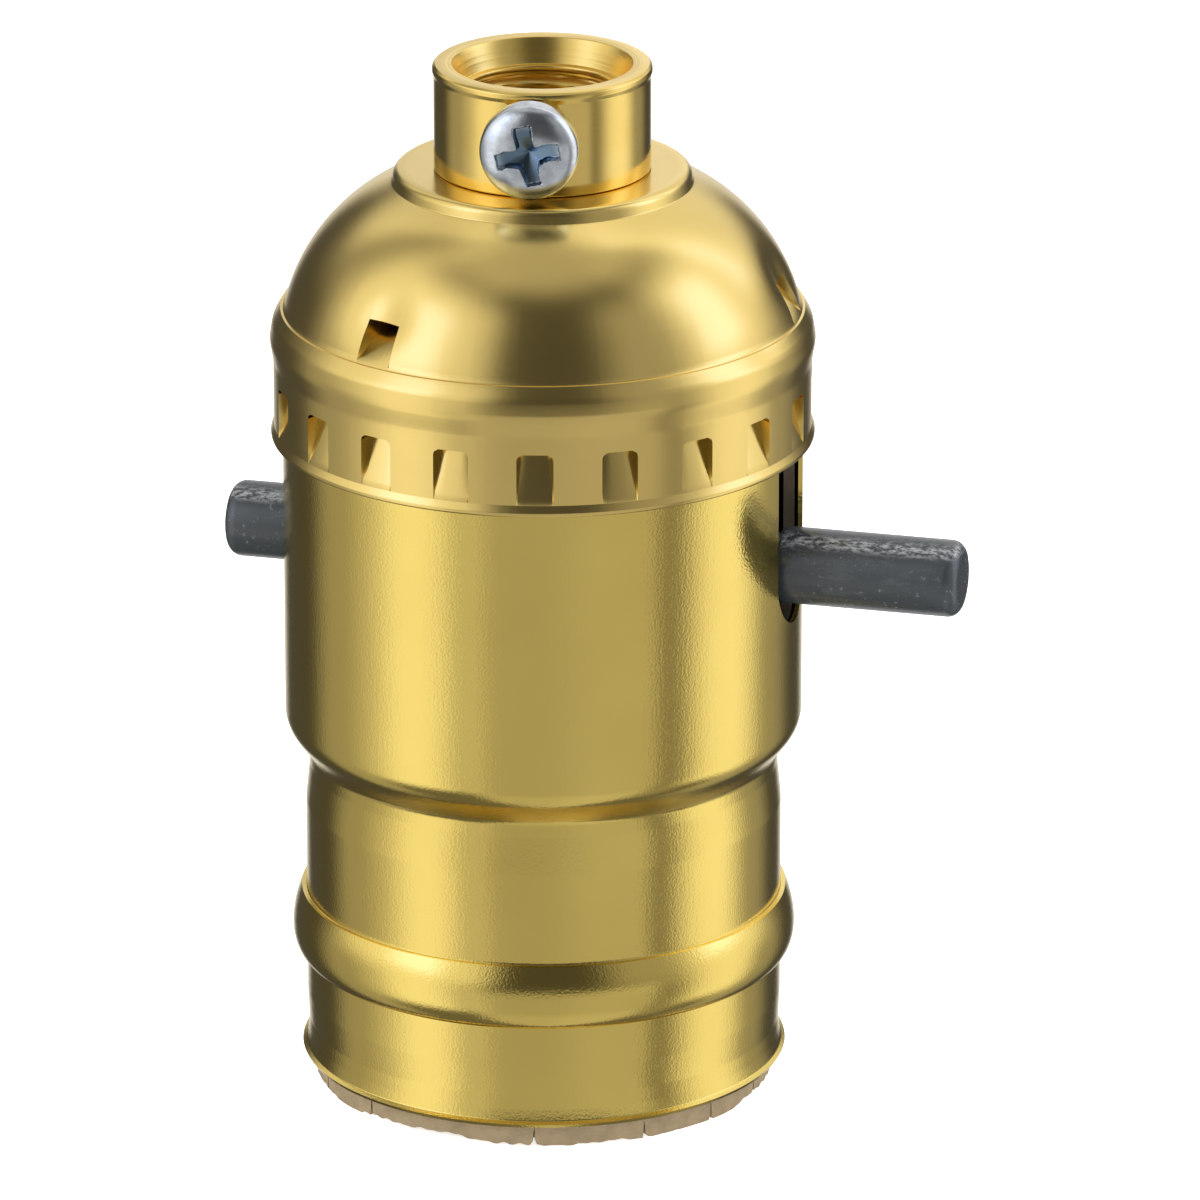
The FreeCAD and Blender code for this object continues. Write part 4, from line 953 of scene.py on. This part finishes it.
# %% Camera
CAMERA_AZIMUTH, CAMERA_ELEVATION, CAMERA_DISTANCE = math.radians(15), math.radians(19.17), 698
LENS = 329
LOOKED_AT = Vector((0, 0, 31.2))
AIM_RIGHT, AIM_DOWN = 3.61, 3.05


def direction(azimuth, elevation):
    """Unit vector from the axis: azimuth from the front towards the right, elevation up."""
    level = math.cos(elevation)
    return Vector((math.sin(azimuth) * level, -math.cos(azimuth) * level, math.sin(elevation)))


def aimed(item, place, towards):
    """Put a lamp or camera into the scene so that it looks along a direction."""
    bpy.context.scene.collection.objects.link(item)
    item.location = place
    item.rotation_mode = "QUATERNION"
    item.rotation_quaternion = towards.to_track_quat("-Z", "Y")

# %% Camera in place
back = direction(CAMERA_AZIMUTH, CAMERA_ELEVATION)
right = Vector((math.cos(CAMERA_AZIMUTH), math.sin(CAMERA_AZIMUTH), 0))
aim = right * AIM_RIGHT - back.cross(right) * AIM_DOWN
camera_data = bpy.data.cameras.new("camera")
camera_data.lens = LENS
camera_data.clip_start = 0.01
camera = bpy.data.objects.new("camera", camera_data)
aimed(camera, (LOOKED_AT + back * CAMERA_DISTANCE) * MM, (aim - back * CAMERA_DISTANCE).normalized())
bpy.context.scene.camera = camera
print("camera at", [round(c, 3) for c in camera.location])

# %% [markdown]
# The studio: a white sweep, a soft box on each side, and darker walls in front and behind. Bright metal
# is a mirror, so its look is the room's. Real cards would need aiming one by one, so the room is written
# as brightness by bearing from the camera and by elevation. The camera itself sees only white.

# %% Room
STUDIO_BASE = 0.075
STUDIO_CARDS = [
    # bearing from, to, softness; elevation from, to, softness; brightness
    ((-82, -38, 18), (-38, 54, 10), 0.98),    # soft box on the left
    ((-106, -76, 10), (0, 54, 10), 0.46),     # its upper half reaches further back
    ((-40, -22, 8), (2, 50, 8), 0.45),        # and further forward
    ((-118, -86, 10), (-60, 60, 12), 0.28),   # its spill on the wall beside it
    ((-145, -98, 12), (14, 75, 12), 0.22),    # and higher up, further back
    ((71, 105, 14), (-38, 52, 10), 0.98),     # soft box on the right
    ((106, 122, 8), (-5, 50, 10), 0.45),      # its upper half reaches further back
    ((98, 134, 10), (-60, 60, 12), 0.26),     # its spill on the wall beside it
    ((-34, 52, 5), (-90, -2, 4), 0.36),       # table top in front
    ((12, 54, 14), (-90, -2, 4), 0.07),       # lighter towards the right
    ((50, 76, 8), (-60, 0, 8), 0.13),         # and beside the right box
    ((-100, 120, 20), (-90, -40, 8), 0.08),   # table top close to the object
    ((30, 72, 12), (-2, 52, 10), 0.30),       # wall between the camera and the right box
    ((-76, -46, 8), (6, 42, 6), 0.30),        # bright cores of both boxes
    ((76, 104, 8), (6, 42, 6), 0.30),
    ((-200, 200, 1), (64, 100, 9), 0.40),     # ceiling
    ((-110, -30, 12), (54, 72, 8), 0.12),     # spill of both boxes below the ceiling
    ((60, 112, 12), (54, 72, 8), 0.16),
    ((116, 200, 9), (13, 74, 9), 0.80),       # pale backdrop, right half
    ((-200, -134, 9), (24, 70, 9), 0.62),     # pale backdrop, left half
    ((164, 200, 6), (-75, 16, 9), 0.75),      # its foot, seen at grazing angles
    ((-200, -164, 6), (-75, 22, 9), 0.75),
]
CORE_FROM, CORE_TO = 1.04, 1.36  # levels at which a box's core turns from white to cold
CORE_GREEN, CORE_BLUE = 1.12, 1.7
MATT_FILL = 0.42  # what matt surfaces get from all sides

# %% World
def window(value, low, high, softness):
    """1 between low and high, 0 outside, with soft edges."""
    return value.between(low - softness, low + softness) - value.between(high - softness, high + softness)


def studio():
    """Brightness is the base plus each card's, which is one window by bearing times one by elevation."""
    world = bpy.data.worlds.new("studio")
    bpy.context.scene.world = world
    world.use_nodes = True
    tree = world.node_tree
    tree.nodes.clear()
    place = add_node(tree, "ShaderNodeTexCoord")
    x, y, z = parts(place)
    front = x * math.sin(CAMERA_AZIMUTH) - y * math.cos(CAMERA_AZIMUTH)
    side = x * math.cos(CAMERA_AZIMUTH) + y * math.sin(CAMERA_AZIMUTH)
    bearing = side.maths("ARCTAN2", side, front) * math.degrees(1)
    elevation = z.maths("ARCSINE", z) * math.degrees(1)
    level = STUDIO_BASE
    for across, upright, brightness in STUDIO_CARDS:
        level = level + window(bearing, *across) * window(elevation, *upright) * brightness
    core = level.between(CORE_FROM, CORE_TO)
    green, blue = [level * (1 + core * (share - 1)) for share in (CORE_GREEN, CORE_BLUE)]
    room = place.add("ShaderNodeCombineColor", (), {0: level, 1: green, 2: blue})
    camera_ray, glossy_ray, through_ray = [
        place.add("ShaderNodeLightPath", (), (), name)
        for name in ("Is Camera Ray", "Is Glossy Ray", "Is Transmission Ray")
    ]
    colour = mix(glossy_ray, (MATT_FILL,) * 3, room)
    colour = mix(camera_ray + through_ray, colour, (1.0, 1.0, 1.0))
    background = place.add("ShaderNodeBackground", (), {0: colour, 1: 1.0})
    place.add("ShaderNodeOutputWorld", (), {0: background})


studio()
bpy.context.scene.view_settings.view_transform = "Standard"
print("room made of", len(STUDIO_CARDS), "cards")

# %% [markdown]
# Matt surfaces and the floor's shadow need real lamps. Three soft ones stand where the boxes and the
# ceiling are, and are kept out of the reflections, because the room shows them there already.

# %% Lamps
LIT_CENTRE = Vector((0, 0, 0.03))  # what the lamps aim at, in metres
SOFT_LAMPS = {
    # bearing, elevation, distance in metres, side in metres, watts
    "left_soft_light": (-65, 35, 0.6, 0.5, 2.6),
    "right_soft_light": (75, 30, 0.6, 0.5, 2.4),
    "top_soft_light": (0, 80, 0.7, 0.6, 2.6),
}
for name, (bearing, elevation, distance, side, power) in SOFT_LAMPS.items():
    data = bpy.data.lights.new(name, "AREA")
    data.size = side
    data.energy = power
    lamp = bpy.data.objects.new(name, data)
    towards = direction(math.radians(bearing) + CAMERA_AZIMUTH, math.radians(elevation))
    aimed(lamp, LIT_CENTRE + towards * distance, -towards)
    lamp.visible_glossy = False
print("lamps", list(SOFT_LAMPS))

# %% [markdown]
# The floor is a pale sweep. Paper lit by these lamps would come out grey, and more light would bleach
# the object, so the floor glows with most of its own white and takes only the shadow from the lamps.

# %% Floor
FLOOR_GLOW = 0.72
FLOOR_HALF, FLOOR_HEIGHT = 1500, LINER_FOOT - 0.01


def white_sweep():
    """Diffuse paper plus a steady glow."""
    material, place = new_finish("white_sweep")
    paper = place.add("ShaderNodeBsdfDiffuse", (), {0: (0.9, 0.9, 0.9, 1)})
    glow = place.add("ShaderNodeEmission", (), {0: (1, 1, 1, 1), 1: FLOOR_GLOW})
    both = place.add("ShaderNodeAddShader", (), {0: paper, 1: glow})
    place.add("ShaderNodeOutputMaterial", (), {0: both})
    return material


corner = np.array([-FLOOR_HALF, FLOOR_HALF])
sweep = np.stack(np.meshgrid(corner, corner, [FLOOR_HEIGHT], indexing="ij"), -1)[:, :, 0]
floor = surface("floor", sweep)
floor.data.materials.append(white_sweep())
floor.visible_glossy = False
print("floor at", FLOOR_HEIGHT, "mm")
